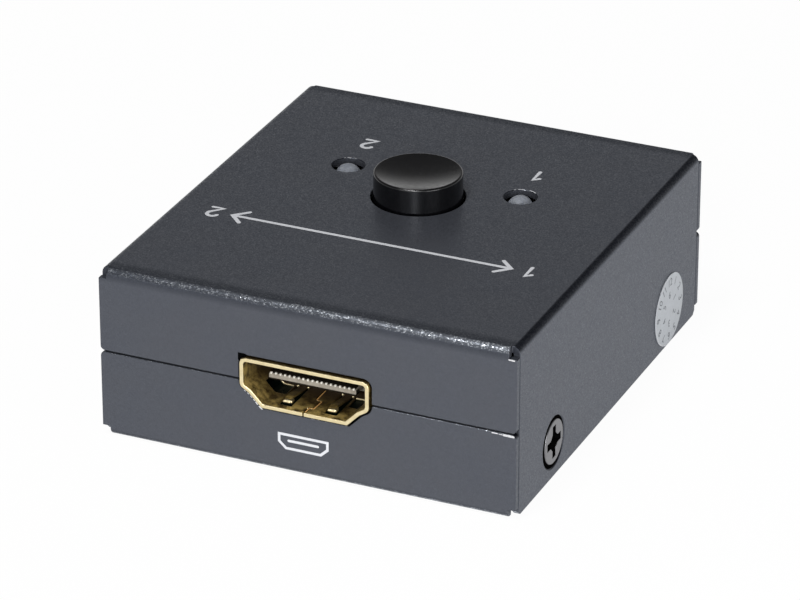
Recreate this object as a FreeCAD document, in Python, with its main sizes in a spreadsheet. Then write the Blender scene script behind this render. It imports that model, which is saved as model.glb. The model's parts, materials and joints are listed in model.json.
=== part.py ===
"""A two-way video switch box: a folded steel cover and tray round a small circuit board.

Millimetres, +Z up, -Y towards the single port, origin at the middle of the underside.
"""
import FreeCAD, Part
import Sketcher
import math
import os

DOCUMENT = FreeCAD.newDocument("video_switch_box")
SHEET = DOCUMENT.addObject("Spreadsheet::Sheet", "sizes")
VECTOR = FreeCAD.Vector

# Driving dimensions

SIZES = {
    # Case
    "case_width": 48.0,
    "case_depth": 53.5,
    "case_height": 19.8,
    "cover_sheet": 0.8,
    "tray_sheet": 0.8,
    "bend_radius": 0.9,
    "panel_gap": 0.12,
    "fold_notch": 0.2,
    "seam_height": 10.05,
    "seam_gap": 0.2,
    "flange_rounding": 0.5,
    "side_flange_height": 9.0,
    "foot_gap": 0.1,
    "foot_chamfer": 0.5,
    # Cover screws
    "screw_along": 16.3,
    "screw_height": 4.2,
    "screw_thread": 3.0,
    "screw_length": 4.0,
    "screw_head": 5.2,
    "screw_head_edge": 0.35,
    "screw_cone": 0.5,
    "cross_width": 0.9,
    "cross_span": 3.8,
    "cross_depth": 0.65,
    "thread_clearance": 0.03,
    "head_clearance": 0.1,
    # Circuit board and its pillars
    "board_side_gap": 0.65,
    "board_end_gap": 0.75,
    "board_thickness": 1.6,
    "pillar_across": 31.2,
    "pillar_along": 1.0,
    "pillar_flats": 5.0,
    "board_screw_length": 6.0,
    "board_screw_head": 5.2,
    "board_screw_head_height": 1.7,
    "board_hole_clearance": 0.15,
    # Video sockets
    "port_height": 10.02,
    "port_width": 14.0,
    "port_opening": 4.6,
    "port_corner": 0.35,
    "port_side_drop": 0.36,
    "port_shelf_run": 0.9,
    "port_shelf_angle": 31.8,
    "port_diagonal_angle": 45.7,
    "port_depth": 11.5,
    "port_stand_out": 0.3,
    "port_cutout_gap": 0.2,
    "rear_port_spacing": 20.6,
    "shell_sheet": 0.3,
    "rim_flare": 0.17,
    "rim_length": 0.5,
    "leg_width": 1.6,
    "leg_first": 3.2,
    "leg_second": 9.2,
    "leg_below_board": 0.9,
    "leg_clearance": 0.15,
    "tail_opening_length": 3.2,
    "tail_opening_width": 10.2,
    "finger_spacing": 5.2,
    "finger_width": 0.9,
    "finger_tip": 1.2,
    "finger_root": 5.6,
    "finger_rise": 0.55,
    "finger_slot_gap": 0.3,
    "window_start": 3.2,
    "window_length": 2.2,
    "window_inner": 3.6,
    "window_outer": 6.0,
    "joint_gap": 0.1,
    "joint_side": 0.12,
    "joint_tab": 0.62,
    "joint_first": 1.2,
    "joint_second": 3.2,
    "tongue_width": 10.1,
    "tongue_thickness": 0.62,
    "tongue_above_axis": 0.08,
    "tongue_recess": 2.2,
    "tongue_chamfer": 0.15,
    "block_length": 2.4,
    "tail_room": 2.3,
    "block_clearance": 0.12,
    "contact_pitch": 1.0,
    "contact_width": 0.34,
    "contact_sheet": 0.15,
    "contact_tip_inset": 0.25,
    "contact_clearance": 0.03,
    "contact_drop_gap": 0.35,
    # Push button and its switch
    "button_along": 3.4,
    "button_offset": 0.25,
    "button_radius": 4.92,
    "button_rise": 2.95,
    "button_rim": 0.3,
    "button_bottom_drop": 3.0,
    "button_dish_radius": 4.55,
    "button_dish_depth": 0.45,
    "button_gap": 0.3,
    "switch_side": 8.5,
    "switch_height": 7.0,
    "switch_wall": 0.9,
    "switch_corner": 0.4,
    "base_thickness": 0.8,
    "slider_side": 5.4,
    "slider_height": 2.4,
    "slider_bore_radius": 2.2,
    "slider_bore_depth": 1.9,
    "stem_side": 3.3,
    "stem_length": 6.4,
    "stem_clearance": 0.06,
    "guide_clearance": 0.08,
    "spring_radius": 1.75,
    "spring_wire": 0.35,
    "spring_seat_gap": 0.05,
    "terminal_across": 6.05,
    "terminal_pitch": 2.5,
    "terminal_width": 0.5,
    "terminal_sheet": 0.25,
    "terminal_rise": 1.4,
    "terminal_below_board": 1.2,
    "terminal_clearance": 0.06,
    # Indicator lamps
    "led_across": 20.6,
    "led_along": 7.65,
    "led_hole": 3.7,
    "led_radius": 1.5,
    "led_height": 4.6,
    "led_rise": 0.1,
    "lead_pitch": 2.0,
    "lead_side": 0.5,
    "lead_clearance": 0.12,
    "lead_below_board": 1.0,
    # Parts on the board
    "chip_side": 7.0,
    "chip_height": 1.0,
    "chip_chamfer": 0.25,
    "chip_along": 8.1,
    "small_part_length": 1.6,
    "small_part_width": 0.8,
    "capacitor_height": 0.8,
    "resistor_height": 0.45,
    "capacitor_across": 15.0,
    "resistor_across": 21.0,
    "small_part_pitch": 2.4,
    # Seal over one rear screw
    "seal_radius": 4.22,
    "seal_thickness": 0.1,
    "seal_along": 17.4,
    "seal_height": 4.5,
}

MATCH_LIMIT = 0.01
UPPER_CONTACT_COUNT = 10
LOWER_CONTACT_COUNT = 9
SMALL_PART_COUNT = 4


def fill_sheet():
    """Write every driving dimension into the sheet under its own alias."""
    for row, (alias, number) in enumerate(SIZES.items(), start=1):
        SHEET.set(f"A{row}", alias)
        SHEET.set(f"B{row}", str(number))
        SHEET.setAlias(f"B{row}", alias)
    DOCUMENT.recompute()


# Places worked out from the driving dimensions

HALF_WIDTH = "(sizes.case_width / 2)"
HALF_DEPTH = "(sizes.case_depth / 2)"
COVER_LOW = "(sizes.seam_height + sizes.seam_gap / 2)"
TRAY_HIGH = "(sizes.seam_height - sizes.seam_gap / 2)"
WALL_END = f"({HALF_DEPTH} - sizes.cover_sheet - sizes.panel_gap)"
TRAY_SIDE = f"({HALF_WIDTH} - sizes.cover_sheet - sizes.panel_gap)"
PORT_HALF_OPENING = "(sizes.port_opening / 2)"
SHELL_FOOT = f"({PORT_HALF_OPENING} + sizes.shell_sheet)"
BOARD_SIDE = f"({HALF_WIDTH} - sizes.screw_length - sizes.board_side_gap)"
BOARD_END = f"({HALF_DEPTH} - sizes.tray_sheet - sizes.board_end_gap)"
BOARD_TOP = f"(sizes.port_height - {SHELL_FOOT})"
BOARD_BOTTOM = f"({BOARD_TOP} - sizes.board_thickness)"
RIM_SPREAD = "(sizes.shell_sheet + sizes.rim_flare)"
CUTOUT_SPREAD = f"({RIM_SPREAD} + sizes.port_cutout_gap)"
MOUTH = f"({HALF_DEPTH} + sizes.port_stand_out)"
HEAD_CONE = "(sizes.screw_head_edge + sizes.head_clearance)"
COUNTERSINK = f"(sizes.screw_head + 2 * {HEAD_CONE})"
TONGUE_TOP = "(sizes.tongue_above_axis + sizes.tongue_thickness / 2)"
TONGUE_UNDER = "(sizes.tongue_above_axis - sizes.tongue_thickness / 2)"
BLOCK_BACK = "(sizes.port_depth - sizes.tail_room)"
BLOCK_FRONT = f"({BLOCK_BACK} - sizes.block_length)"
CONTACT_START = "(sizes.tongue_recess + sizes.contact_tip_inset)"
HOUSING_TOP = f"({BOARD_TOP} + sizes.switch_height)"
CAVITY_TOP = f"({HOUSING_TOP} - sizes.switch_wall)"
CAVITY_SIDE = "(sizes.switch_side - 2 * sizes.switch_wall)"
BASE_TOP = f"({BOARD_TOP} + sizes.base_thickness)"
SLIDER_TOP = f"({CAVITY_TOP} - sizes.spring_seat_gap)"
SLIDER_UNDER = f"({SLIDER_TOP} - sizes.slider_height)"
STEM_TOP = f"({SLIDER_TOP} + sizes.stem_length)"
BUTTON_TOP = "(sizes.case_height + sizes.button_rise)"
BUTTON_UNDER = "(sizes.case_height - sizes.button_bottom_drop)"
LED_TIP = "(sizes.case_height + sizes.led_rise)"
LED_LEFT = "(-sizes.button_offset - sizes.led_across / 2)"
LED_RIGHT = "(-sizes.button_offset + sizes.led_across / 2)"
LED_SEAT = f"({LED_TIP} - sizes.led_height)"
PILLARS = (
    ("(-sizes.pillar_across / 2)", "sizes.pillar_along"),
    ("(sizes.pillar_across / 2)", "sizes.pillar_along"),
)
PORTS = (
    ("front_port", "0", f"(-{MOUTH})", 0),
    ("rear_port_1", "(sizes.rear_port_spacing / 2)", MOUTH, 180),
    ("rear_port_2", "(-sizes.rear_port_spacing / 2)", MOUTH, 180),
)


def value(expression):
    """The number that an expression on the sheet gives."""
    return float(SHEET.evalExpression(expression))


# Sketch and feature helpers

def new_body(label, across="0", along="0", up="0", turn=0):
    """A body whose own frame stands at the given place, turned about the upright axis."""
    body = DOCUMENT.addObject("PartDesign::Body", label)
    body.Label = label
    body.Placement = FreeCAD.Placement(VECTOR(0, 0, 0), FreeCAD.Rotation(VECTOR(0, 0, 1), turn))
    body.setExpression("Placement.Base.x", across)
    body.setExpression("Placement.Base.y", along)
    body.setExpression("Placement.Base.z", up)
    return body


def origin_part(body, role):
    """One of the body's own origin planes or axes."""
    for feature in body.Origin.OriginFeatures:
        if feature.Role == role:
            return feature
    raise ValueError(f"{body.Label} has no {role}")


def sketch_on(body, name, plane, lift="0"):
    """An empty sketch on an origin plane, lifted along the plane's normal."""
    sketch = body.newObject("Sketcher::SketchObject", name)
    sketch.AttachmentSupport = (origin_part(body, plane), [""])
    sketch.MapMode = "FlatFace"
    sketch.setExpression("AttachmentOffset.Base.z", lift)
    return sketch


def hold_point(sketch, geometry, end, across, up):
    """Tie one point of a sketch to two expressions."""
    for kind, expression in (("DistanceX", across), ("DistanceY", up)):
        constraint = Sketcher.Constraint(kind, -1, 1, geometry, end, value(expression))
        index = sketch.addConstraint(constraint)
        sketch.setExpression(f"Constraints[{index}]", expression)


def draw_outline(sketch, corners, rounding=None, domed=None):
    """A closed outline through the corners; rounding maps a corner's number to its radius.

    The side that domed names is a quarter circle that ends on the upright axis.
    """
    first = len(sketch.Geometry)
    count = len(corners)
    points = [VECTOR(value(across), value(up), 0) for across, up in corners]
    sides = [Part.LineSegment(points[i], points[(i + 1) % count]) for i in range(count)]
    if domed is not None:
        start = points[domed]
        circle = Part.Circle(VECTOR(0, start.y, 0), VECTOR(0, 0, 1), start.x)
        sides[domed] = Part.ArcOfCircle(circle, 0, math.pi / 2)
    sketch.addGeometry(sides)
    if domed is not None:
        sketch.addConstraint(Sketcher.Constraint("PointOnObject", first + domed, 3, -2))
    for i in range(count):
        joined = Sketcher.Constraint("Coincident", first + i, 2, first + (i + 1) % count, 1)
        sketch.addConstraint(joined)
    for i, (across, up) in enumerate(corners):
        hold_point(sketch, first + i, 1, across, up)
    for i, radius in (rounding or {}).items():
        round_corner(sketch, first + i, radius)


def round_corner(sketch, line, radius):
    """Round the corner where a line starts and tie the arc's radius to an expression."""
    before = len(sketch.Geometry)
    sketch.fillet(line, 1, value(radius), True, True)
    for index in range(before, len(sketch.Geometry)):
        if sketch.Geometry[index].TypeId == "Part::GeomArcOfCircle":
            held = sketch.addConstraint(Sketcher.Constraint("Radius", index, value(radius)))
            sketch.setExpression(f"Constraints[{held}]", radius)


def draw_box(sketch, left, right, low, high, rounding=None):
    """A closed rectangle, with all four corners rounded where a radius is given."""
    corners = [(left, low), (right, low), (right, high), (left, high)]
    radii = {i: rounding for i in range(4)} if rounding else None
    draw_outline(sketch, corners, radii)


def draw_circle(sketch, across, up, radius):
    """A circle tied to its centre and radius."""
    centre = VECTOR(value(across), value(up), 0)
    circle = Part.Circle(centre, VECTOR(0, 0, 1), value(radius))
    index = sketch.addGeometry(circle)
    hold_point(sketch, index, 3, across, up)
    held = sketch.addConstraint(Sketcher.Constraint("Radius", index, value(radius)))
    sketch.setExpression(f"Constraints[{held}]", radius)


def pad(body, sketch, length, backwards=False, symmetric=False):
    """Push a sketch out into solid."""
    before = 0 if body.Shape.isNull() else body.Shape.Volume
    feature = body.newObject("PartDesign::Pad", sketch.Name + "_pad")
    feature.Profile = sketch
    feature.setExpression("Length", length)
    feature.Reversed = backwards
    if symmetric:
        feature.SideType = "Symmetric"
    DOCUMENT.recompute()
    if not body.Shape.Volume > before:
        raise ValueError(f"{feature.Name} adds nothing")
    return feature


def pocket(body, sketch, length=None, forwards=False):
    """Cut a sketch into the body, right through where no length is given."""
    before = body.Shape.Volume
    feature = body.newObject("PartDesign::Pocket", sketch.Name + "_cut")
    feature.Profile = sketch
    feature.Reversed = forwards
    if length is None:
        feature.Type = "ThroughAll"
    else:
        feature.setExpression("Length", length)
    DOCUMENT.recompute()
    if not body.Shape.Volume < before:
        raise ValueError(f"{feature.Name} cuts nothing")
    return feature


def countersunk_hole(body, sketch, bore, mouth, depth):
    """A bore with a right-angled countersink at each circle of a sketch."""
    DOCUMENT.recompute()
    before = body.Shape.Volume
    feature = body.newObject("PartDesign::Hole", sketch.Name + "_hole")
    feature.Profile = sketch
    feature.ThreadType = "None"
    feature.DepthType = "Dimension"
    feature.DrillPoint = "Flat"
    feature.HoleCutType = "Countersink"
    feature.HoleCutCustomValues = True
    feature.HoleCutCountersinkAngle = 90
    feature.setExpression("Diameter", bore)
    feature.setExpression("HoleCutDiameter", mouth)
    feature.setExpression("Depth", depth)
    DOCUMENT.recompute()
    if not body.Shape.Volume < before:
        raise ValueError(f"{feature.Name} cuts nothing")
    return feature


def revolve(body, sketch, axis):
    """Turn a sketch all the way round one of the body's axes."""
    feature = body.newObject("PartDesign::Revolution", sketch.Name + "_turned")
    feature.Profile = sketch
    feature.ReferenceAxis = (origin_part(body, axis), [""])
    feature.Angle = 360
    DOCUMENT.recompute()
    return feature


def mirror(body, name, plane, originals=None):
    """Mirror features, or the whole body where none are named."""
    feature = body.newObject("PartDesign::Mirrored", name)
    if originals:
        feature.Originals = originals
    else:
        feature.TransformMode = "Whole shape"
    feature.MirrorPlane = (origin_part(body, plane), [""])
    body.Tip = feature
    DOCUMENT.recompute()
    return feature


def repeat(body, name, axis, length, count, originals=None):
    """Repeat features, or the whole body where none are named, along an axis."""
    feature = body.newObject("PartDesign::LinearPattern", name)
    if originals:
        feature.Originals = originals
    else:
        feature.TransformMode = "Whole shape"
    feature.Direction = (origin_part(body, axis), [""])
    feature.Occurrences = count
    feature.setExpression("Length", length)
    body.Tip = feature
    DOCUMENT.recompute()
    return feature


def chamfer_edges(body, size, wanted):
    """Chamfer the edges whose middle point passes the test."""
    feature_base = body.Tip
    names = []
    for number, edge in enumerate(feature_base.Shape.Edges, start=1):
        middle = edge.CenterOfMass
        if wanted(edge, middle):
            names.append(f"Edge{number}")
    feature = body.newObject("PartDesign::Chamfer", body.Name + "_chamfer")
    feature.Base = (feature_base, names)
    feature.setExpression("Size", size)
    DOCUMENT.recompute()
    return feature


# Folded sheet case

def port_outline(spread):
    """Corners of a video socket's outline, moved outwards by spread.

    The sides drop straight, turn in along a shallow shelf and run down a steeper diagonal
    to the narrow floor. Each corner moves along the line that halves its angle.
    """
    shelf = "sizes.port_shelf_angle"
    slope = "sizes.port_diagonal_angle"
    side = f"(sizes.port_width / 2 + {spread})"
    top = f"({PORT_HALF_OPENING} + {spread})"
    side_low = f"(-sizes.port_side_drop - {spread} * tan((90 - {shelf}) / 2))"
    shelf_drop = f"(sizes.port_side_drop + sizes.port_shelf_run * tan({shelf}))"
    mean = f"(({shelf} + {slope}) / 2)"
    half_turn = f"(({slope} - {shelf}) / 2)"
    shelf_side = (f"(sizes.port_width / 2 - sizes.port_shelf_run"
                  f" + {spread} * sin({mean}) / cos({half_turn}))")
    shelf_low = f"(-{shelf_drop} - {spread} * cos({mean}) / cos({half_turn}))"
    floor_side = (f"(sizes.port_width / 2 - sizes.port_shelf_run"
                  f" - ({PORT_HALF_OPENING} - {shelf_drop}) / tan({slope})"
                  f" + {spread} * tan({slope} / 2))")
    return [
        (f"(-{side})", top), (f"(-{side})", side_low), (f"(-{shelf_side})", shelf_low),
        (f"(-{floor_side})", f"(-{top})"), (floor_side, f"(-{top})"),
        (shelf_side, shelf_low), (side, side_low), (side, top),
    ]


def draw_port_outline(sketch, spread, across="0", up="0"):
    """A socket's outline with its four outer corners rounded, moved to a place in the sketch."""
    corners = [(f"({x} + {across})", f"({z} + {up})") for x, z in port_outline(spread)]
    radius = f"(sizes.port_corner + {spread})"
    draw_outline(sketch, corners, {0: radius, 1: radius, 6: radius, 7: radius})


def cut_ports(body, sheet):
    """Cut the one front and two rear socket outlines out of a panel pair."""
    depth = f"({sheet} + sizes.panel_gap)"
    front = sketch_on(body, body.Name + "_front_port_outline", "XZ_Plane", HALF_DEPTH)
    draw_port_outline(front, CUTOUT_SPREAD, "0", "sizes.port_height")
    pocket(body, front, depth)
    rear = sketch_on(body, body.Name + "_rear_port_outlines", "XZ_Plane", f"-{HALF_DEPTH}")
    for side in ("(sizes.rear_port_spacing / 2)", "(-sizes.rear_port_spacing / 2)"):
        draw_port_outline(rear, CUTOUT_SPREAD, side, "sizes.port_height")
    pocket(body, rear, depth, forwards=True)


def folded_section(sketch, half, sheet, open_end, fold):
    """A U of folded sheet: two legs ending at open_end, with rounded folds at fold."""
    upward = value(fold) > value(open_end)
    inside = f"({fold} - {sheet})" if upward else f"({fold} + {sheet})"
    leg = f"({half} - {sheet})"
    corners = [
        (f"(-{half})", open_end), (f"(-{half})", fold), (half, fold), (half, open_end),
        (leg, open_end), (leg, inside), (f"(-{leg})", inside), (f"(-{leg})", open_end),
    ]
    draw_outline(sketch, corners, {1: "sizes.bend_radius", 2: "sizes.bend_radius"})


def flange_panels(body, sheet, shoulder, seam):
    """The flat end flanges at their full width, front and rear, rounded beside the seam."""
    outline = sketch_on(body, body.Name + "_flange", "XZ_Plane", HALF_DEPTH)
    corners = [
        (f"-{HALF_WIDTH}", shoulder), (HALF_WIDTH, shoulder), (HALF_WIDTH, seam), (f"-{HALF_WIDTH}", seam),
    ]
    draw_outline(outline, corners, {2: "sizes.flange_rounding", 3: "sizes.flange_rounding"})
    panel = pad(body, outline, sheet, backwards=True)
    mirror(body, body.Name + "_flanges", "XZ_Plane", [panel])


def top_cover():
    """Top plate with two full side walls and two half-height end flanges."""
    body = new_body("top_cover")
    ends = sketch_on(body, "cover_end_section", "YZ_Plane")
    folded_section(ends, HALF_DEPTH, "sizes.cover_sheet", COVER_LOW, "sizes.case_height")
    pad(body, ends, "sizes.case_width - 2 * sizes.bend_radius", symmetric=True)
    walls = sketch_on(body, "cover_wall_section", "XZ_Plane")
    folded_section(walls, HALF_WIDTH, "sizes.cover_sheet", "sizes.foot_gap", "sizes.case_height")
    pad(body, walls, f"2 * {WALL_END}", symmetric=True)
    shoulder = "(sizes.case_height - sizes.bend_radius - sizes.fold_notch)"
    flange_panels(body, "sizes.cover_sheet", shoulder, COVER_LOW)

    half_width = value(HALF_WIDTH)
    wall_end = value(WALL_END)
    foot = value("sizes.foot_gap")
    sheet = value("sizes.cover_sheet")

    def at_wall_foot(edge, middle):
        level = abs(middle.z - foot) < MATCH_LIMIT
        at_end = abs(abs(middle.y) - wall_end) < MATCH_LIMIT
        return level and at_end and half_width - sheet < abs(middle.x) < half_width

    chamfer_edges(body, "sizes.foot_chamfer", at_wall_foot)
    openings = sketch_on(body, "top_openings", "XY_Plane", "sizes.case_height")
    button_hole = "(sizes.button_radius + sizes.button_gap)"
    draw_circle(openings, "-sizes.button_offset", "sizes.button_along", button_hole)
    for across in (LED_LEFT, LED_RIGHT):
        draw_circle(openings, across, "sizes.led_along", "(sizes.led_hole / 2)")
    pocket(body, openings, "2 * sizes.cover_sheet")
    cut_ports(body, "sizes.cover_sheet")
    places = sketch_on(body, "cover_screw_places", "YZ_Plane", HALF_WIDTH)
    cone_end = f"({COUNTERSINK} - 2 * (sizes.cover_sheet + sizes.panel_gap))"
    for along in ("(-sizes.screw_along)", "sizes.screw_along"):
        draw_circle(places, along, "sizes.screw_height", f"({cone_end} / 2)")
    holes = countersunk_hole(body, places, cone_end, COUNTERSINK, COUNTERSINK)
    mirror(body, "cover_screw_holes", "YZ_Plane", [holes])
    return body


def bottom_tray():
    """Floor with two half-height end flanges and two inner side flanges for the screws."""
    body = new_body("bottom_tray")
    floor_end = f"({HALF_DEPTH} - sizes.bend_radius - sizes.fold_notch)"
    inner_face = f"({HALF_DEPTH} - sizes.tray_sheet)"
    folds = sketch_on(body, "tray_fold_section", "YZ_Plane")
    corners = [
        (f"(-{HALF_DEPTH})", TRAY_HIGH), (f"(-{HALF_DEPTH})", "0"), (f"(-{floor_end})", "0"),
        (f"(-{floor_end})", "sizes.tray_sheet"), (f"(-{inner_face})", "sizes.tray_sheet"),
        (f"(-{inner_face})", TRAY_HIGH),
    ]
    draw_outline(folds, corners, {1: "sizes.bend_radius"})
    pad(body, folds, "sizes.case_width - 2 * sizes.bend_radius", symmetric=True)
    mirror(body, "tray_folds", "XZ_Plane")
    floor = sketch_on(body, "tray_floor_outline", "XY_Plane")
    floor_side = f"({TRAY_SIDE} - sizes.bend_radius)"
    draw_box(floor, f"-{floor_side}", floor_side, f"-{floor_end}", floor_end)
    pad(body, floor, "sizes.tray_sheet")
    sides = sketch_on(body, "tray_side_section", "XZ_Plane")
    folded_section(sides, TRAY_SIDE, "sizes.tray_sheet", "sizes.side_flange_height", "0")
    pad(body, sides, f"2 * ({floor_end} - sizes.fold_notch)", symmetric=True)
    shoulder = "(sizes.bend_radius + sizes.fold_notch)"
    flange_panels(body, "sizes.tray_sheet", shoulder, TRAY_HIGH)
    cut_ports(body, "sizes.tray_sheet")
    places = sketch_on(body, "tray_screw_places", "YZ_Plane", TRAY_SIDE)
    bore_radius = "(sizes.screw_thread / 2 + sizes.thread_clearance)"
    for along in ("(-sizes.screw_along)", "sizes.screw_along"):
        draw_circle(places, along, "sizes.screw_height", bore_radius)
    holes = pocket(body, places, "2 * sizes.tray_sheet")
    mirror(body, "tray_screw_holes", "YZ_Plane", [holes])
    return body


def cut_cross(body, name, plane, lift):
    """Cut the cross for a driver into a screw's head."""
    cross = sketch_on(body, name, plane, lift)
    arm = "(sizes.cross_span / 2)"
    edge = "(sizes.cross_width / 2)"
    corners = [
        (f"-{arm}", f"-{edge}"), (f"-{edge}", f"-{edge}"), (f"-{edge}", f"-{arm}"),
        (edge, f"-{arm}"), (edge, f"-{edge}"), (arm, f"-{edge}"),
        (arm, edge), (edge, edge), (edge, arm),
        (f"-{edge}", arm), (f"-{edge}", edge), (f"-{arm}", edge),
    ]
    draw_outline(cross, corners)
    pocket(body, cross, "sizes.cross_depth")


def cover_screws():
    """Four thin-head countersunk screws that hold the cover's side walls to the tray."""
    body = new_body("cover_screws", "0", "-sizes.screw_along", "sizes.screw_height")
    tip = f"({HALF_WIDTH} - sizes.screw_length)"
    head = "(sizes.screw_head / 2)"
    shank = "(sizes.screw_thread / 2)"
    edge = f"({HALF_WIDTH} - sizes.screw_head_edge)"
    under = f"({edge} - sizes.screw_cone)"
    section = sketch_on(body, "cover_screw_section", "XZ_Plane")
    corners = [
        (tip, "0"), (HALF_WIDTH, "0"), (HALF_WIDTH, head), (edge, head),
        (under, f"({head} - sizes.screw_cone)"), (under, shank), (tip, shank),
    ]
    draw_outline(section, corners)
    revolve(body, section, "X_Axis")
    cut_cross(body, "cover_screw_cross", "YZ_Plane", HALF_WIDTH)
    repeat(body, "screws_along_side", "Y_Axis", "2 * sizes.screw_along", 2)
    mirror(body, "screws_both_sides", "YZ_Plane")
    return body


# Circuit board, pillars and screws

def board_standoffs():
    """Two hexagonal pillars clinched to the tray's floor, tapped for the board screws."""
    body = new_body("board_standoffs")
    outline = sketch_on(body, "pillar_outlines", "XY_Plane", "sizes.tray_sheet")
    corner_radius = "(sizes.pillar_flats / 2 / cos(30))"
    for across, along in PILLARS:
        corners = []
        for turn in range(0, 360, 60):
            corner_x = f"({across} + {corner_radius} * cos({turn}))"
            corner_y = f"({along} + {corner_radius} * sin({turn}))"
            corners.append((corner_x, corner_y))
        draw_outline(outline, corners)
        draw_circle(outline, across, along, "(sizes.screw_thread / 2 + sizes.thread_clearance)")
    pad(body, outline, f"{BOARD_BOTTOM} - sizes.tray_sheet")
    return body


def board_screws():
    """Two cheese-head screws that hold the board down on its pillars."""
    body = new_body("board_screws", PILLARS[0][0], PILLARS[0][1], BOARD_TOP)
    head = "(sizes.board_screw_head / 2)"
    shank = "(sizes.screw_thread / 2)"
    section = sketch_on(body, "board_screw_section", "XZ_Plane")
    corners = [
        ("0", "(-sizes.board_screw_length)"), (shank, "(-sizes.board_screw_length)"),
        (shank, "0"), (head, "0"), (head, "sizes.board_screw_head_height"),
        ("0", "sizes.board_screw_head_height"),
    ]
    draw_outline(section, corners)
    revolve(body, section, "Z_Axis")
    cut_cross(body, "board_screw_cross", "XY_Plane", "sizes.board_screw_head_height")
    repeat(body, "screws_across", "X_Axis", "sizes.pillar_across", 2)
    return body


def leg_places():
    """Where each socket's four legs pass the board: middle across and middle along."""
    middle = "(sizes.port_width / 2 + sizes.shell_sheet / 2)"
    places = []
    for label, across, along, turn in PORTS:
        for side in ("", "-"):
            for step in ("sizes.leg_first", "sizes.leg_second"):
                leg_along = f"({along} + {step})" if turn == 0 else f"({along} - {step})"
                places.append((f"({across} + {side}{middle})", leg_along))
    return places


def circuit_board():
    """The board that carries the sockets, the switch, the lamps and the chip."""
    body = new_body("circuit_board")
    outline = sketch_on(body, "board_outline", "XY_Plane", BOARD_BOTTOM)
    draw_box(outline, f"-{BOARD_SIDE}", BOARD_SIDE, f"-{BOARD_END}", BOARD_END)
    pad(body, outline, "sizes.board_thickness")
    holes = sketch_on(body, "board_holes", "XY_Plane", BOARD_TOP)
    for across, along in PILLARS:
        draw_circle(holes, across, along, "(sizes.screw_thread / 2 + sizes.board_hole_clearance)")
    draw_lead_sections(holes, "sizes.lead_clearance")
    draw_terminals(holes, "sizes.terminal_clearance", "-sizes.button_offset", "sizes.button_along")
    pocket(body, holes, "2 * sizes.board_thickness")
    slots = sketch_on(body, "leg_slots", "XY_Plane", BOARD_TOP)
    half_slot = "(sizes.shell_sheet / 2 + sizes.leg_clearance)"
    half_length = "(sizes.leg_width / 2 + sizes.leg_clearance)"
    for across, along in leg_places():
        draw_box(slots, f"({across} - {half_slot})", f"({across} + {half_slot})",
                 f"({along} - {half_length})", f"({along} + {half_length})")
    pocket(body, slots, "2 * sizes.board_thickness")
    return body


# Video sockets

def port_shell(name, across, along, turn):
    """The folded metal shell: flared rim, spring fingers, locked joint and four legs.

    The body's own frame has its origin at the middle of the mouth and +Y going in.
    """
    body = new_body(name + "_shell", across, along, "sizes.port_height", turn)
    rim = sketch_on(body, name + "_rim", "XZ_Plane")
    draw_port_outline(rim, RIM_SPREAD)
    pad(body, rim, "sizes.rim_length", backwards=True)
    tube = sketch_on(body, name + "_tube", "XZ_Plane")
    draw_outline(tube, port_outline("sizes.shell_sheet"))
    pad(body, tube, "sizes.port_depth", backwards=True)
    hollow = sketch_on(body, name + "_hollow", "XZ_Plane")
    draw_port_outline(hollow, "0")
    pocket(body, hollow, "sizes.port_depth - sizes.shell_sheet")
    cut_tail_opening(body, name)
    cut_floor(body, name)
    add_finger(body, name)
    add_legs(body, name)
    return body


def cut_tail_opening(body, name):
    """Open the rear of the floor and the foot of the back wall for the contact tails."""
    opening = sketch_on(body, name + "_tail_opening", "XY_Plane", "(-sizes.port_side_drop)")
    half = "(sizes.tail_opening_width / 2)"
    start = "(sizes.port_depth - sizes.tail_opening_length)"
    draw_box(opening, f"-{half}", half, start, "(sizes.port_depth + sizes.shell_sheet)")
    pocket(body, opening)


def cut_floor(body, name):
    """Cut the finger slots, the windows beside them and the thin locked joint."""
    floor = f"(-{PORT_HALF_OPENING})"
    slots = sketch_on(body, name + "_floor_slots", "XY_Plane", floor)
    half_slot = "(sizes.finger_width / 2 + sizes.finger_slot_gap)"
    slot_start = "(sizes.finger_tip - sizes.finger_slot_gap)"
    for side in ("(-sizes.finger_spacing / 2)", "(sizes.finger_spacing / 2)"):
        draw_box(slots, f"({side} - {half_slot})", f"({side} + {half_slot})",
                 slot_start, "sizes.finger_root")
    pocket(body, slots)
    windows = sketch_on(body, name + "_windows", "XY_Plane", "(-sizes.port_side_drop)")
    window_end = "(sizes.window_start + sizes.window_length)"
    draw_box(windows, "(-sizes.window_outer)", "(-sizes.window_inner)", "sizes.window_start", window_end)
    draw_box(windows, "sizes.window_inner", "sizes.window_outer", "sizes.window_start", window_end)
    pocket(body, windows)
    joint = sketch_on(body, name + "_joint", "XY_Plane", floor)
    left = "(-sizes.joint_side - sizes.joint_gap / 2)"
    right = "(-sizes.joint_side + sizes.joint_gap / 2)"
    tab_left = f"({left} + sizes.joint_tab)"
    tab_right = f"({right} + sizes.joint_tab)"
    gap = "sizes.joint_gap"
    joint_end = "(sizes.port_depth - sizes.tail_opening_length + sizes.joint_gap)"
    corners = [
        (left, "(-sizes.joint_gap)"), (right, "(-sizes.joint_gap)"), (right, "sizes.joint_first"),
        (tab_right, "sizes.joint_first"), (tab_right, f"(sizes.joint_second + {gap})"),
        (right, f"(sizes.joint_second + {gap})"), (right, joint_end), (left, joint_end),
        (left, "sizes.joint_second"), (tab_left, "sizes.joint_second"),
        (tab_left, f"(sizes.joint_first + {gap})"), (left, f"(sizes.joint_first + {gap})"),
    ]
    draw_outline(joint, corners)
    pocket(body, joint)


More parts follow.
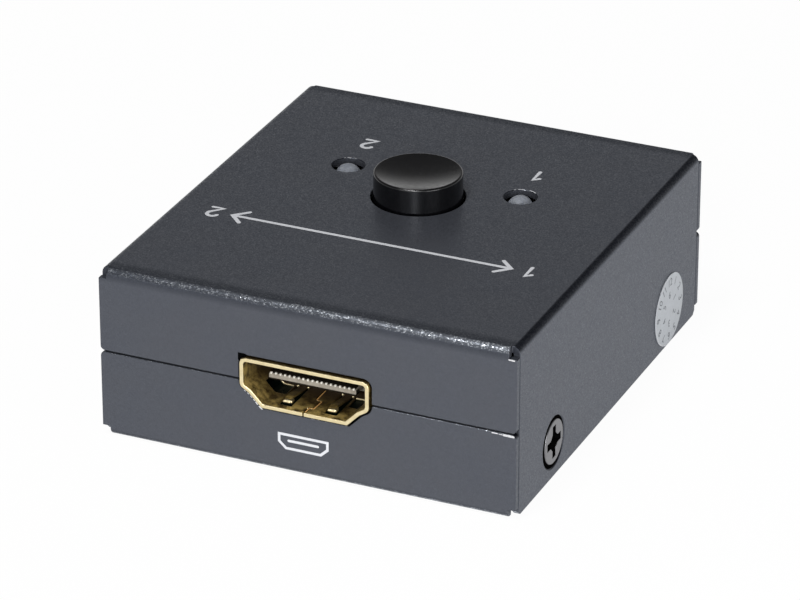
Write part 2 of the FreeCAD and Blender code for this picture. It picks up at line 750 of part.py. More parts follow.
def add_finger(body, name):
    """A floor strip that rises towards the mouth to press on the plug, and its twin."""
    centre = "(sizes.finger_spacing / 2)"
    strip = sketch_on(body, name + "_finger", "YZ_Plane", centre)
    floor = f"(-{PORT_HALF_OPENING})"
    under = f"({floor} - sizes.shell_sheet)"
    crest = "(sizes.finger_tip + sizes.finger_width)"
    raised = f"({floor} + sizes.finger_rise)"
    raised_under = f"({raised} - sizes.shell_sheet)"
    bend = "(sizes.finger_root - 2 * sizes.shell_sheet)"
    corners = [
        ("(sizes.finger_root + sizes.shell_sheet)", under), ("(sizes.finger_root + sizes.shell_sheet)", floor),
        (bend, floor), (crest, raised), ("sizes.finger_tip", f"({floor} + sizes.shell_sheet)"),
        ("sizes.finger_tip", floor), (crest, raised_under), (bend, under),
    ]
    draw_outline(strip, corners, {3: "sizes.shell_sheet"})
    finger = pad(body, strip, "sizes.finger_width", symmetric=True)
    mirror(body, name + "_fingers", "YZ_Plane", [finger])


def add_legs(body, name):
    """Four legs cut from the side walls that drop through the board."""
    foot = f"(-{SHELL_FOOT} - sizes.board_thickness - sizes.leg_below_board)"
    outline = sketch_on(body, name + "_legs", "YZ_Plane", "(sizes.port_width / 2)")
    for step in ("sizes.leg_first", "sizes.leg_second"):
        near = f"({step} - sizes.leg_width / 2)"
        far = f"({step} + sizes.leg_width / 2)"
        draw_box(outline, near, far, foot, "0")
    legs = pad(body, outline, "sizes.shell_sheet")
    mirror(body, name + "_leg_pairs", "YZ_Plane", [legs])


def port_insulator(name, across, along, turn):
    """The moulded block at the back of a socket with its contact tongue."""
    body = new_body(name + "_insulator", across, along, "sizes.port_height", turn)
    tongue = sketch_on(body, name + "_tongue_section", "YZ_Plane")
    tip = "sizes.tongue_recess"
    cut = "sizes.tongue_chamfer"
    corners = [
        (f"({tip} + {cut})", TONGUE_UNDER), (BLOCK_BACK, TONGUE_UNDER),
        (BLOCK_BACK, TONGUE_TOP), (f"({tip} + {cut})", TONGUE_TOP),
        (tip, f"({TONGUE_TOP} - {cut})"), (tip, f"({TONGUE_UNDER} + {cut})"),
    ]
    draw_outline(tongue, corners)
    pad(body, tongue, "sizes.tongue_width", symmetric=True)
    block = sketch_on(body, name + "_block", "XZ_Plane", f"(-{BLOCK_FRONT})")
    draw_outline(block, port_outline("(-sizes.block_clearance)"))
    pad(body, block, "sizes.block_length", backwards=True)
    slots = sketch_on(body, name + "_contact_slots", "XZ_Plane")
    slot_height = "(sizes.contact_sheet + 2 * sizes.contact_clearance)"
    rows = ((UPPER_CONTACT_COUNT, TONGUE_TOP), (LOWER_CONTACT_COUNT, f"({TONGUE_UNDER} - {slot_height})"))
    for count, low in rows:
        half = f"(({count - 1} * sizes.contact_pitch + sizes.contact_width) / 2 + sizes.contact_clearance)"
        draw_box(slots, f"-{half}", half, low, f"({low} + {slot_height})")
    pocket(body, slots)
    return body


def port_contacts(name, across, along, turn):
    """Nineteen contacts: ten above the tongue and nine below, with tails down to the board."""
    body = new_body(name + "_contacts", across, along, "sizes.port_height", turn)
    foot = f"(-{SHELL_FOOT})"
    sheet = "sizes.contact_sheet"
    above = f"({TONGUE_TOP} + sizes.contact_clearance)"
    below = f"({TONGUE_UNDER} - sizes.contact_clearance - {sheet})"
    drop_below = f"({BLOCK_BACK} + sizes.contact_drop_gap)"
    drop_above = f"({drop_below} + sizes.contact_drop_gap + {sheet})"
    rows = (
        ("above", UPPER_CONTACT_COUNT, above, drop_above),
        ("below", LOWER_CONTACT_COUNT, below, drop_below),
    )
    for row, count, under, drop in rows:
        first = f"(-{count - 1} * sizes.contact_pitch / 2)"
        section = sketch_on(body, f"{name}_contact_{row}", "YZ_Plane", first)
        top = f"({under} + {sheet})"
        drop_end = f"({drop} + {sheet})"
        corners = [
            (CONTACT_START, under), (CONTACT_START, top), (drop_end, top),
            (drop_end, foot), (drop, foot), (drop, under),
        ]
        draw_outline(section, corners)
        strip = pad(body, section, "sizes.contact_width", symmetric=True)
        repeat(body, f"{name}_contacts_{row}", "X_Axis", f"{count - 1} * sizes.contact_pitch",
               count, [strip])
    return body


# Push button and switch

def push_button():
    """The round cap: a bevelled rim, a dished top and a square socket for the stem."""
    body = new_body("push_button", "-sizes.button_offset", "sizes.button_along")
    rim = "sizes.button_rim"
    section = sketch_on(body, "button_section", "XZ_Plane")
    corners = [
        ("0", BUTTON_UNDER), ("sizes.button_radius", BUTTON_UNDER),
        ("sizes.button_radius", f"({BUTTON_TOP} - {rim})"),
        (f"(sizes.button_radius - {rim})", BUTTON_TOP), ("0", BUTTON_TOP),
    ]
    draw_outline(section, corners)
    revolve(body, section, "Z_Axis")
    dish_radius = ("((sizes.button_dish_radius ^ 2 + sizes.button_dish_depth ^ 2)"
                   " / (2 * sizes.button_dish_depth))")
    dish = body.newObject("PartDesign::SubtractiveSphere", "button_dish")
    dish.AttachmentSupport = (origin_part(body, "XY_Plane"), [""])
    dish.MapMode = "FlatFace"
    dish.AttachmentOffset = FreeCAD.Placement(VECTOR(0, 0, 0), FreeCAD.Rotation(VECTOR(1, 0, 0), 90))
    dish.setExpression("Radius", dish_radius)
    dish.setExpression("AttachmentOffset.Base.z",
                       f"{BUTTON_TOP} - sizes.button_dish_depth + {dish_radius}")
    DOCUMENT.recompute()
    socket = sketch_on(body, "button_socket", "XY_Plane", BUTTON_UNDER)
    half = "(sizes.stem_side / 2 + sizes.stem_clearance)"
    draw_box(socket, f"-{half}", half, f"-{half}", half)
    pocket(body, socket, f"{STEM_TOP} - {BUTTON_UNDER} + sizes.stem_clearance", forwards=True)
    return body


def switch_housing():
    """The square switch body: walls and a top with a guide for the stem."""
    body = new_body("switch_housing", "-sizes.button_offset", "sizes.button_along", BOARD_TOP)
    outline = sketch_on(body, "housing_outline", "XY_Plane")
    half = "(sizes.switch_side / 2)"
    draw_box(outline, f"-{half}", half, f"-{half}", half, "sizes.switch_corner")
    pad(body, outline, "sizes.switch_height")
    cavity = sketch_on(body, "housing_cavity", "XY_Plane")
    half = f"({CAVITY_SIDE} / 2)"
    draw_box(cavity, f"-{half}", half, f"-{half}", half)
    pocket(body, cavity, "sizes.switch_height - sizes.switch_wall", forwards=True)
    guide = sketch_on(body, "stem_guide", "XY_Plane", "sizes.switch_height")
    half = "(sizes.stem_side / 2 + sizes.guide_clearance)"
    draw_box(guide, f"-{half}", half, f"-{half}", half)
    pocket(body, guide, "2 * sizes.switch_wall")
    return body


def terminal_places():
    """Where the six switch terminals stand, from the middle of the switch."""
    places = []
    for side in ("-", ""):
        for step in (-1, 0, 1):
            places.append((f"({side}sizes.terminal_across / 2)", f"({step} * sizes.terminal_pitch)"))
    return places


def draw_terminals(sketch, clearance, middle_x="0", middle_y="0"):
    """The terminals' sections, widened by a clearance, round the switch's middle."""
    thick = f"(sizes.terminal_sheet / 2 + {clearance})"
    wide = f"(sizes.terminal_width / 2 + {clearance})"
    for across, along in terminal_places():
        x = f"{middle_x} + {across}"
        y = f"{middle_y} + {along}"
        draw_box(sketch, f"({x} - {thick})", f"({x} + {thick})", f"({y} - {wide})", f"({y} + {wide})")


def switch_base():
    """The plate that closes the switch from below and carries the spring."""
    body = new_body("switch_base", "-sizes.button_offset", "sizes.button_along", BOARD_TOP)
    outline = sketch_on(body, "base_outline", "XY_Plane")
    half = f"({CAVITY_SIDE} / 2 - sizes.terminal_clearance)"
    draw_box(outline, f"-{half}", half, f"-{half}", half)
    pad(body, outline, "sizes.base_thickness")
    slots = sketch_on(body, "terminal_slots", "XY_Plane", "sizes.base_thickness")
    draw_terminals(slots, "sizes.terminal_clearance")
    pocket(body, slots, "2 * sizes.base_thickness")
    return body


def switch_terminals():
    """Six flat terminals from the switch's contacts down through the board."""
    body = new_body("switch_terminals", "-sizes.button_offset", "sizes.button_along", BOARD_TOP)
    below = "(sizes.board_thickness + sizes.terminal_below_board)"
    outline = sketch_on(body, "terminal_sections", "XY_Plane", f"(-{below})")
    draw_terminals(outline, "0")
    pad(body, outline, f"{below} + sizes.base_thickness + sizes.terminal_rise")
    return body


def switch_plunger():
    """The sliding core: a square slider, bored for the spring, with the stem on top."""
    body = new_body("switch_plunger", "-sizes.button_offset", "sizes.button_along", SLIDER_UNDER)
    slider = sketch_on(body, "slider_outline", "XY_Plane")
    half = "(sizes.slider_side / 2)"
    draw_box(slider, f"-{half}", half, f"-{half}", half)
    pad(body, slider, "sizes.slider_height")
    stem = sketch_on(body, "stem_outline", "XY_Plane")
    half = "(sizes.stem_side / 2)"
    draw_box(stem, f"-{half}", half, f"-{half}", half)
    pad(body, stem, "sizes.slider_height + sizes.stem_length")
    bore = sketch_on(body, "spring_bore", "XY_Plane")
    draw_circle(bore, "0", "0", "sizes.slider_bore_radius")
    pocket(body, bore, "sizes.slider_bore_depth", forwards=True)
    return body


def switch_spring():
    """The return spring between the base and the bottom of the slider's bore."""
    seat = f"({BASE_TOP} + sizes.spring_seat_gap)"
    body = new_body("switch_spring", "-sizes.button_offset", "sizes.button_along", seat)
    bore_end = f"({SLIDER_UNDER} + sizes.slider_bore_depth)"
    outline = sketch_on(body, "spring_section", "XY_Plane")
    draw_circle(outline, "0", "0", "(sizes.spring_radius + sizes.spring_wire / 2)")
    draw_circle(outline, "0", "0", "(sizes.spring_radius - sizes.spring_wire / 2)")
    pad(body, outline, f"{bore_end} - {BASE_TOP} - 2 * sizes.spring_seat_gap")
    return body


# Indicator lamps

def led(number, across):
    """A round lamp: a straight body and a domed tip that just clears the top."""
    body = new_body(f"led_{number}", across, "sizes.led_along", LED_SEAT)
    section = sketch_on(body, f"led_{number}_section", "XZ_Plane")
    corners = [
        ("0", "0"), ("sizes.led_radius", "0"),
        ("sizes.led_radius", "(sizes.led_height - sizes.led_radius)"), ("0", "sizes.led_height"),
    ]
    draw_outline(section, corners, domed=2)
    revolve(body, section, "Z_Axis")
    return body


def draw_lead_sections(sketch, clearance):
    """The square sections of the lamps' four wires, widened by a clearance."""
    half = f"(sizes.lead_side / 2 + {clearance})"
    for middle in (LED_LEFT, LED_RIGHT):
        for lead in ("-", "+"):
            across = f"({middle} {lead} sizes.lead_pitch / 2)"
            draw_box(sketch, f"({across} - {half})", f"({across} + {half})",
                     f"(sizes.led_along - {half})", f"(sizes.led_along + {half})")


def led_leads():
    """Two square wires under each lamp, down through the board."""
    body = new_body("led_leads")
    foot = f"({BOARD_BOTTOM} - sizes.lead_below_board)"
    outline = sketch_on(body, "lead_sections", "XY_Plane", foot)
    draw_lead_sections(outline, "0")
    pad(body, outline, f"{LED_SEAT} - {foot}")
    return body


# Parts soldered on the board

def switching_chip():
    """The flat square chip that joins one pair of sockets at a time."""
    body = new_body("switching_chip", "0", "-sizes.chip_along", BOARD_TOP)
    outline = sketch_on(body, "chip_outline", "XY_Plane")
    half = "(sizes.chip_side / 2)"
    draw_box(outline, f"-{half}", half, f"-{half}", half)
    pad(body, outline, "sizes.chip_height")
    top = value("sizes.chip_height")

    def on_top(edge, middle):
        return abs(middle.z - top) < MATCH_LIMIT

    chamfer_edges(body, "sizes.chip_chamfer", on_top)
    return body


def small_parts(label, across, height):
    """Two rows of small brick-shaped parts beside the chip."""
    rows = f"({SMALL_PART_COUNT - 1} * sizes.small_part_pitch)"
    body = new_body(label, "0", f"-sizes.chip_along - {rows} / 2", BOARD_TOP)
    outline = sketch_on(body, label + "_outline", "XY_Plane")
    half_length = "(sizes.small_part_length / 2)"
    half_width = "(sizes.small_part_width / 2)"
    middle = f"({across} / 2)"
    draw_box(outline, f"({middle} - {half_length})", f"({middle} + {half_length})",
             f"-{half_width}", half_width)
    pad(body, outline, height)
    repeat(body, label + "_row", "Y_Axis", rows, SMALL_PART_COUNT)
    mirror(body, label + "_both_sides", "YZ_Plane")
    return body


def warranty_seal():
    """A thin round label stuck over one of the rear cover screws."""
    body = new_body("warranty_seal", HALF_WIDTH, "sizes.seal_along", "sizes.seal_height")
    outline = sketch_on(body, "seal_outline", "YZ_Plane")
    draw_circle(outline, "0", "0", "sizes.seal_radius")
    pad(body, outline, "sizes.seal_thickness")
    return body


def build():
    """Make every sub-part and return them all."""
    parts = [top_cover(), bottom_tray(), cover_screws()]
    parts += [board_standoffs(), board_screws(), circuit_board()]
    for name, across, along, turn in PORTS:
        parts.append(port_shell(name, across, along, turn))
        parts.append(port_insulator(name, across, along, turn))
        parts.append(port_contacts(name, across, along, turn))
    parts += [push_button(), switch_housing(), switch_base(), switch_terminals()]
    parts += [switch_plunger(), switch_spring()]
    parts += [led(1, LED_RIGHT), led(2, LED_LEFT), led_leads(), switching_chip()]
    parts.append(small_parts("chip_capacitors", "sizes.capacitor_across", "sizes.capacitor_height"))
    parts.append(small_parts("chip_resistors", "sizes.resistor_across", "sizes.resistor_height"))
    parts.append(warranty_seal())
    return parts


def check(parts):
    """Stop if any feature failed or any sub-part is empty or broken."""
    for item in DOCUMENT.Objects:
        if "Invalid" in item.State or "Error" in item.State:
            raise ValueError(f"{item.Label} failed: {item.State}")
    for item in parts:
        if item.Shape.isNull() or not item.Shape.isValid() or not item.Shape.Solids:
            raise ValueError(f"{item.Label} has no sound solid")


def write(parts):
    """Write one file for each sub-part."""
    os.makedirs("parts", exist_ok=True)
    for item in parts:
        item.Shape.exportStep(f"parts/{item.Label}.step")
        print(f"{item.Label}: {len(item.Shape.Solids)} solid(s), {item.Shape.Volume:.2f} cubic mm")


fill_sheet()
PARTS = build()
DOCUMENT.recompute()
check(PARTS)
write(PARTS)
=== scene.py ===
"""Looks for the video switch box: paint, plating, plastics, print, floor, light and camera.

Metres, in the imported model's frame: +Z up, -Y towards the single port.
"""

import json
import math

import bmesh
import bpy
from mathutils import Matrix, Vector


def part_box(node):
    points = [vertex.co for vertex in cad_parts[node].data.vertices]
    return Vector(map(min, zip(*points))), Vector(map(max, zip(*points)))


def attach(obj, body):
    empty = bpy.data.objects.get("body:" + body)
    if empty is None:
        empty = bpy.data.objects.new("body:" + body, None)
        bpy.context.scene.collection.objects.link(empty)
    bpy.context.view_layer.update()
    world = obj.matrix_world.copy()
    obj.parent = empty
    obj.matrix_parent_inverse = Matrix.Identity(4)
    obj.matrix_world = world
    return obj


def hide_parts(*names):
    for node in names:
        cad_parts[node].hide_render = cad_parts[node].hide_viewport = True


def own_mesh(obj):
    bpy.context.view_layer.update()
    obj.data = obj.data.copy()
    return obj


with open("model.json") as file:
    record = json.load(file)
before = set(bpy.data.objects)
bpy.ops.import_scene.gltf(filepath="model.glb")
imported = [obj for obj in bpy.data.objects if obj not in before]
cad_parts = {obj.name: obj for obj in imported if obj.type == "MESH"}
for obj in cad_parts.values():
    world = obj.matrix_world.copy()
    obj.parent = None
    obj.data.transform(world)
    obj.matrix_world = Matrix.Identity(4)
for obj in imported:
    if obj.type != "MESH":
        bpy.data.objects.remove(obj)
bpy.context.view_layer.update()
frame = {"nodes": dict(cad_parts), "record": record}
MM = 0.001

# Sizes that the frame's boxes give

COVER_LOW, COVER_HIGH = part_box("top_cover")
BUTTON_LOW, BUTTON_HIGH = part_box("push_button")
SEAL_LOW, SEAL_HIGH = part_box("warranty_seal")
SHELL_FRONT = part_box("front_port_shell")[0].y
SHELL_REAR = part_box("rear_port_1_shell")[1].y
TOP = COVER_HIGH.z
FRONT_FACE = COVER_LOW.y

# Height of the print over the surface under it

PRINT_LIFT = 0.012 * MM


# Node helpers

def new_material(name):
    """A material with its tree, its main shader and an object-space coordinate."""
    material = bpy.data.materials.new(name)
    material.use_nodes = True
    tree = material.node_tree
    shader = tree.nodes["Principled BSDF"]
    coordinate = tree.nodes.new("ShaderNodeTexCoord").outputs["Object"]
    return material, tree, shader, coordinate


def noise(tree, coordinate, grain, detail, roughness, stretch=(1, 1, 1)):
    """Noise whose blobs are about one grain across."""
    mapping = tree.nodes.new("ShaderNodeMapping")
    mapping.inputs["Scale"].default_value = stretch
    tree.links.new(coordinate, mapping.inputs["Vector"])
    texture = tree.nodes.new("ShaderNodeTexNoise")
    texture.inputs["Scale"].default_value = 1 / grain
    texture.inputs["Detail"].default_value = detail
    texture.inputs["Roughness"].default_value = roughness
    tree.links.new(mapping.outputs["Vector"], texture.inputs["Vector"])
    return texture.outputs["Fac"]


def spread(tree, factor, limits, low_value=0.0, high_value=1.0):
    """Map a factor between two limits onto a range of values."""
    mapped = tree.nodes.new("ShaderNodeMapRange")
    mapped.inputs["From Min"].default_value = limits[0]
    mapped.inputs["From Max"].default_value = limits[1]
    mapped.inputs["To Min"].default_value = low_value
    mapped.inputs["To Max"].default_value = high_value
    tree.links.new(factor, mapped.inputs["Value"])
    return mapped.outputs["Result"]


def blend(tree, factor, first, second):
    """Mix two colours, each a socket or a plain colour."""
    mix = tree.nodes.new("ShaderNodeMix")
    mix.data_type = "RGBA"
    for name, colour in (("A", first), ("B", second)):
        socket = [s for s in mix.inputs if s.name == name and s.type == "RGBA"][0]
        if isinstance(colour, tuple):
            socket.default_value = (*colour, 1)
        else:
            tree.links.new(colour, socket)
    tree.links.new(factor, mix.inputs["Factor"])
    return [s for s in mix.outputs if s.type == "RGBA"][0]


def bump(tree, shader, height, depth, strength, normal=None):
    """Raise the surface by a height map, depth metres from black to white."""
    node = tree.nodes.new("ShaderNodeBump")
    if normal is not None:
        tree.links.new(normal, node.inputs["Normal"])
    node.inputs["Strength"].default_value = strength
    node.inputs["Distance"].default_value = depth
    tree.links.new(height, node.inputs["Height"])
    tree.links.new(node.outputs["Normal"], shader.inputs["Normal"])


def flecks(tree, coordinate, grain, tilt):
    """One random tone for each fleck about one grain across, and the normal tilted by it."""
    cells = tree.nodes.new("ShaderNodeTexVoronoi")
    cells.inputs["Scale"].default_value = 1 / grain
    tree.links.new(coordinate, cells.inputs["Vector"])
    centred = tree.nodes.new("ShaderNodeVectorMath")
    centred.operation = "SUBTRACT"
    centred.inputs[1].default_value = (0.5, 0.5, 0.5)
    tree.links.new(cells.outputs["Color"], centred.inputs[0])
    scaled = tree.nodes.new("ShaderNodeVectorMath")
    scaled.operation = "SCALE"
    scaled.inputs["Scale"].default_value = tilt
    tree.links.new(centred.outputs["Vector"], scaled.inputs[0])
    geometry = tree.nodes.new("ShaderNodeNewGeometry")
    leaned = tree.nodes.new("ShaderNodeVectorMath")
    tree.links.new(scaled.outputs["Vector"], leaned.inputs[0])
    tree.links.new(geometry.outputs["Normal"], leaned.inputs[1])
    unit = tree.nodes.new("ShaderNodeVectorMath")
    unit.operation = "NORMALIZE"
    tree.links.new(leaned.outputs["Vector"], unit.inputs[0])
    tone = tree.nodes.new("ShaderNodeTexWhiteNoise")
    tree.links.new(cells.outputs["Color"], tone.inputs["Vector"])
    return tone.outputs["Value"], unit.outputs["Vector"]


def facing(tree):
    """The three parts of the piece's own normal."""
    coordinate = tree.nodes.new("ShaderNodeTexCoord")
    parts = tree.nodes.new("ShaderNodeSeparateXYZ")
    tree.links.new(coordinate.outputs["Normal"], parts.inputs["Vector"])
    return parts.outputs["X"], parts.outputs["Y"], parts.outputs["Z"]


def math_node(tree, operation, first, second=None):
    """One plain sum on sockets."""
    node = tree.nodes.new("ShaderNodeMath")
    node.operation = operation
    tree.links.new(first, node.inputs[0])
    if second is not None:
        tree.links.new(second, node.inputs[1])
    return node.outputs["Value"]


# Parts of a noise's range that a tone or a gloss follows, and strengths of the surface grain

WIDE = (0.3, 0.7)
MIDDLE = (0.35, 0.65)
NARROW = (0.38, 0.62)
GRAIN_STRENGTH = 0.4
FINE_STRENGTH = 0.3

# Paint: its grain, its tones, and the painted shade and painted highlight on and beside its folds.
# A pair is where a mask starts and where it is full, as a place in metres or a part of the normal,
# or what it gives there

FLECK_GRAIN = 0.13 * MM
FLECK_TILT = 0.15
FLECK_SHINE = (0.75, 0.95)
SPECKLE_GRAIN = 0.35 * MM
SPECKLE_DEPTH = 0.004 * MM
SPECKLE_RANGE = (0.32, 0.68)
CLOUD_GRAIN = 5 * MM
CLOUD_SHARE = 0.15
PAINT_DARK = (0.071, 0.076, 0.091)
PAINT_LIGHT = (0.078, 0.084, 0.1)
PAINT_CLOUD = (0.086, 0.087, 0.094)
PAINT_ROUGHNESS = (0.38, 0.28)
PAINT_METALLIC = (0.5, 0.62)
PAINT_SPECULAR = 0.25
PAINT_SPECULAR_TINT = (0.63, 0.665, 0.72, 1)
COAT_FACING = (0.85, 0.98)
COAT_WEIGHT = (0.08, 0.2)
COAT_ROUGHNESS = 0.15
# Painted shade on the top beside the front and rear folds
BESIDE_FOLD_ALONG = (24.3 * MM, 25.2 * MM)
BESIDE_FOLD_SHARE = 0.55
BESIDE_FOLD_LEVEL = (18.3 * MM, 19.2 * MM)
BESIDE_FOLD_ACROSS = (0.1, 0.5)
# Painted shade across the front and rear folds
END_FOLD_DARKENS = (0.02, 0.2)
END_FOLD_DARK_SHARE = 0.75
END_FOLD_DARK = (0.008, 0.011, 0.018)
# Painted highlight along the middle of the front and rear folds, brightest in the shiny flecks
END_FOLD_SHINES = (0.1, 0.34)
END_FOLD_DULL = (0.13, 0.14, 0.16)
END_FOLD_BRIGHT = (0.78, 0.82, 0.88)
END_FOLD_SMOOTHS = (0.15, 0.3)
END_FOLD_SMOOTHING = -0.1
# How the painted highlight on those folds fades from +X towards -X
HIGHLIGHT_FADE_ACROSS = (-24 * MM, 22 * MM)
HIGHLIGHT_FADE_SHARE = (0.28, 0.95)
# Painted shade on the side folds
SIDE_FOLD_ACROSS = (0.08, 0.3)
SIDE_FOLD_SHARE = 0.97
SIDE_FOLD_UP = (0.15, 0.5)
SIDE_FOLD_DARK = (0.003, 0.004, 0.008)


def painted_steel():
    """Satin dark blue-grey metallic paint with flecks that lean every way under a thin coat.

    Painted shade darkens the side folds, the front and rear folds and the top beside them;
    a painted highlight shines along the middle of the front and rear folds and fades towards -X.
    """
    material, tree, shader, coordinate = new_material("painted_steel")
    fleck, tilted = flecks(tree, coordinate, FLECK_GRAIN, FLECK_TILT)
    shine = spread(tree, fleck, FLECK_SHINE)
    speckle = noise(tree, coordinate, SPECKLE_GRAIN, detail=4.0, roughness=0.7)
    cloud = noise(tree, coordinate, CLOUD_GRAIN, detail=2.0, roughness=0.55)
    tone = blend(tree, spread(tree, speckle, SPECKLE_RANGE), PAINT_DARK, PAINT_LIGHT)
    tone = blend(tree, spread(tree, cloud, MIDDLE, 0.0, CLOUD_SHARE), tone, PAINT_CLOUD)

    across, along, up = facing(tree)
    across = math_node(tree, "ABSOLUTE", across)
    along = math_node(tree, "ABSOLUTE", along)
    place = tree.nodes.new("ShaderNodeSeparateXYZ")
    tree.links.new(coordinate, place.inputs["Vector"])
    # Painted shade on the top beside the front and rear folds
    beside = spread(tree, math_node(tree, "ABSOLUTE", place.outputs["Y"]),
                    BESIDE_FOLD_ALONG, 0.0, BESIDE_FOLD_SHARE)
    beside = math_node(tree, "MULTIPLY", beside,
                       spread(tree, place.outputs["Z"], BESIDE_FOLD_LEVEL))
    beside = math_node(tree, "MULTIPLY", beside,
                       spread(tree, across, BESIDE_FOLD_ACROSS, 1.0, 0.0))
    # Painted shade across the front and rear folds
    turned_over = math_node(tree, "MULTIPLY", math_node(tree, "MULTIPLY", along, up), up)
    dark = math_node(tree, "MAXIMUM", beside,
                     spread(tree, turned_over, END_FOLD_DARKENS, 0.0, END_FOLD_DARK_SHARE))
    tone = blend(tree, dark, tone, END_FOLD_DARK)
    # Painted highlight along the middle of those folds, fading from +X towards -X
    highlight_fade = spread(tree, place.outputs["X"], HIGHLIGHT_FADE_ACROSS, *HIGHLIGHT_FADE_SHARE)
    end_fold_highlight = math_node(tree, "MULTIPLY", spread(tree, turned_over, END_FOLD_SHINES), highlight_fade)
    tone = blend(tree, end_fold_highlight, tone, blend(tree, shine, END_FOLD_DULL, END_FOLD_BRIGHT))
    # Painted shade on the side folds
    side_fold_shade = math_node(tree, "MULTIPLY",
                          spread(tree, across, SIDE_FOLD_ACROSS, 0.0, SIDE_FOLD_SHARE),
                          spread(tree, up, SIDE_FOLD_UP))
    tree.links.new(blend(tree, side_fold_shade, tone, SIDE_FOLD_DARK), shader.inputs["Base Color"])

    gloss = math_node(tree, "ADD", spread(tree, shine, (0.0, 1.0), *PAINT_ROUGHNESS),
                      spread(tree, turned_over, END_FOLD_SMOOTHS, 0.0, END_FOLD_SMOOTHING))
    tree.links.new(gloss, shader.inputs["Roughness"])
    tree.links.new(spread(tree, shine, (0.0, 1.0), *PAINT_METALLIC), shader.inputs["Metallic"])
    shader.inputs["Specular IOR Level"].default_value = PAINT_SPECULAR
    shader.inputs["Specular Tint"].default_value = PAINT_SPECULAR_TINT
    tree.links.new(spread(tree, up, COAT_FACING, *COAT_WEIGHT), shader.inputs["Coat Weight"])
    shader.inputs["Coat Roughness"].default_value = COAT_ROUGHNESS
    tree.links.new(tilted, shader.inputs["Coat Normal"])
    bump(tree, shader, speckle, SPECKLE_DEPTH, GRAIN_STRENGTH, tilted)
    return material


# Gold plating: pale on the rim, mottled inside, with painted shade darker with depth and on the
# roof

GOLD_STREAK_GRAIN = 0.6 * MM
GOLD_STREAK_STRETCH = (1, 0.3, 1)
GOLD_STREAK_DEPTH = 0.002 * MM
GOLD_MOTTLE_GRAIN = 0.9 * MM
GOLD_PALE = ((0.76, 0.64, 0.38), (0.84, 0.73, 0.46))
# The inside's mottle: a random tone whose wide range also stands for painted shade and painted
# glints
GOLD_MOTTLE = ((0.055, 0.034, 0.009), (0.46, 0.33, 0.105))
# Painted shade: the plating darkens with depth into the socket
GOLD_DEEP = (0.05, 0.028, 0.008)
GOLD_DEEP_ALONG = (22.3 * MM, 26.2 * MM)
GOLD_RIM_FACING = (0.35, 0.75)
# Painted shade on the shell's upward faces at its top
GOLD_ROOF = (0.03, 0.02, 0.008)
GOLD_ROOF_LEVEL = (12.2 * MM, 12.6 * MM)
GOLD_ROOF_SHARE = 0.85
GOLD_ROOF_FACING = (0.5, 0.9)
GOLD_ROUGHNESS = (0.28, 0.4)
GOLD_METALLIC = (0.45, 1.0)


def gold_shell():
    """Thin gold plating: pale on the rim, dull inside, with painted shade darker with depth and
    above.
    """
    material, tree, shader, coordinate = new_material("gold_shell")
    streak = noise(tree, coordinate, GOLD_STREAK_GRAIN, detail=3.0, roughness=0.6,
                   stretch=GOLD_STREAK_STRETCH)
    mottle = noise(tree, coordinate, GOLD_MOTTLE_GRAIN, detail=3.0, roughness=0.65)
    pale = blend(tree, spread(tree, streak, MIDDLE), *GOLD_PALE)
    near = blend(tree, spread(tree, mottle, NARROW), *GOLD_MOTTLE)
    place = tree.nodes.new("ShaderNodeSeparateXYZ")
    tree.links.new(coordinate, place.inputs["Vector"])
    # Painted shade with depth into the socket
    depth = spread(tree, math_node(tree, "ABSOLUTE", place.outputs["Y"]),
                   GOLD_DEEP_ALONG, 1.0, 0.0)
    inside = blend(tree, depth, near, GOLD_DEEP)
    along, up = facing(tree)[1:]
    # Faces towards the mouth keep the pale plating; the others take the darker inside tones with
    # their painted shade
    rim = spread(tree, math_node(tree, "ABSOLUTE", along), GOLD_RIM_FACING)
    # Painted shade on the shell's upward faces at its top
    roof_shade = math_node(tree, "MULTIPLY",
                     spread(tree, place.outputs["Z"], GOLD_ROOF_LEVEL, 0.0, GOLD_ROOF_SHARE),
                     spread(tree, up, GOLD_ROOF_FACING))
    tone = blend(tree, roof_shade, blend(tree, rim, inside, pale), GOLD_ROOF)
    tree.links.new(tone, shader.inputs["Base Color"])
    tree.links.new(spread(tree, streak, WIDE, *GOLD_ROUGHNESS), shader.inputs["Roughness"])
    tree.links.new(spread(tree, rim, (0.0, 1.0), *GOLD_METALLIC), shader.inputs["Metallic"])
    bump(tree, shader, streak, GOLD_STREAK_DEPTH, FINE_STRENGTH)
    return material


# How far a metal's or a plastic's roughness swings about its own, and the height of the grain

METAL_SWING = (-0.06, 0.08)
PLASTIC_SWING = (-0.04, 0.06)
INK_ROUGHNESS = (0.5, 0.7)
INK_GRAIN = 0.25 * MM
METAL_DEPTH = 0.004 * MM
PLASTIC_DEPTH = 0.004 * MM
INK_DEPTH = 0.003 * MM


def mottled(name, tones, gloss, depth, pattern, tone_range=WIDE, strength=GRAIN_STRENGTH):
    """A material whose colour, roughness and height follow one noise, and its main shader."""
    material, tree, shader, coordinate = new_material(name)
    mottle = noise(tree, coordinate, **pattern)
    tree.links.new(blend(tree, spread(tree, mottle, tone_range), *tones),
                   shader.inputs["Base Color"])
    tree.links.new(spread(tree, mottle, WIDE, *gloss), shader.inputs["Roughness"])
    bump(tree, shader, mottle, depth, strength)
    return material, shader


def metal(name, dark, light, grain, rough, stretch=(1, 1, 1)):
    """A plain metal with a faint grain in colour, gloss and height."""
    gloss = (rough + METAL_SWING[0], rough + METAL_SWING[1])
    pattern = {"grain": grain, "detail": 3.0, "roughness": 0.6, "stretch": stretch}
    material, shader = mottled(name, (dark, light), gloss, METAL_DEPTH, pattern, MIDDLE)
    shader.inputs["Metallic"].default_value = 1.0
    return material


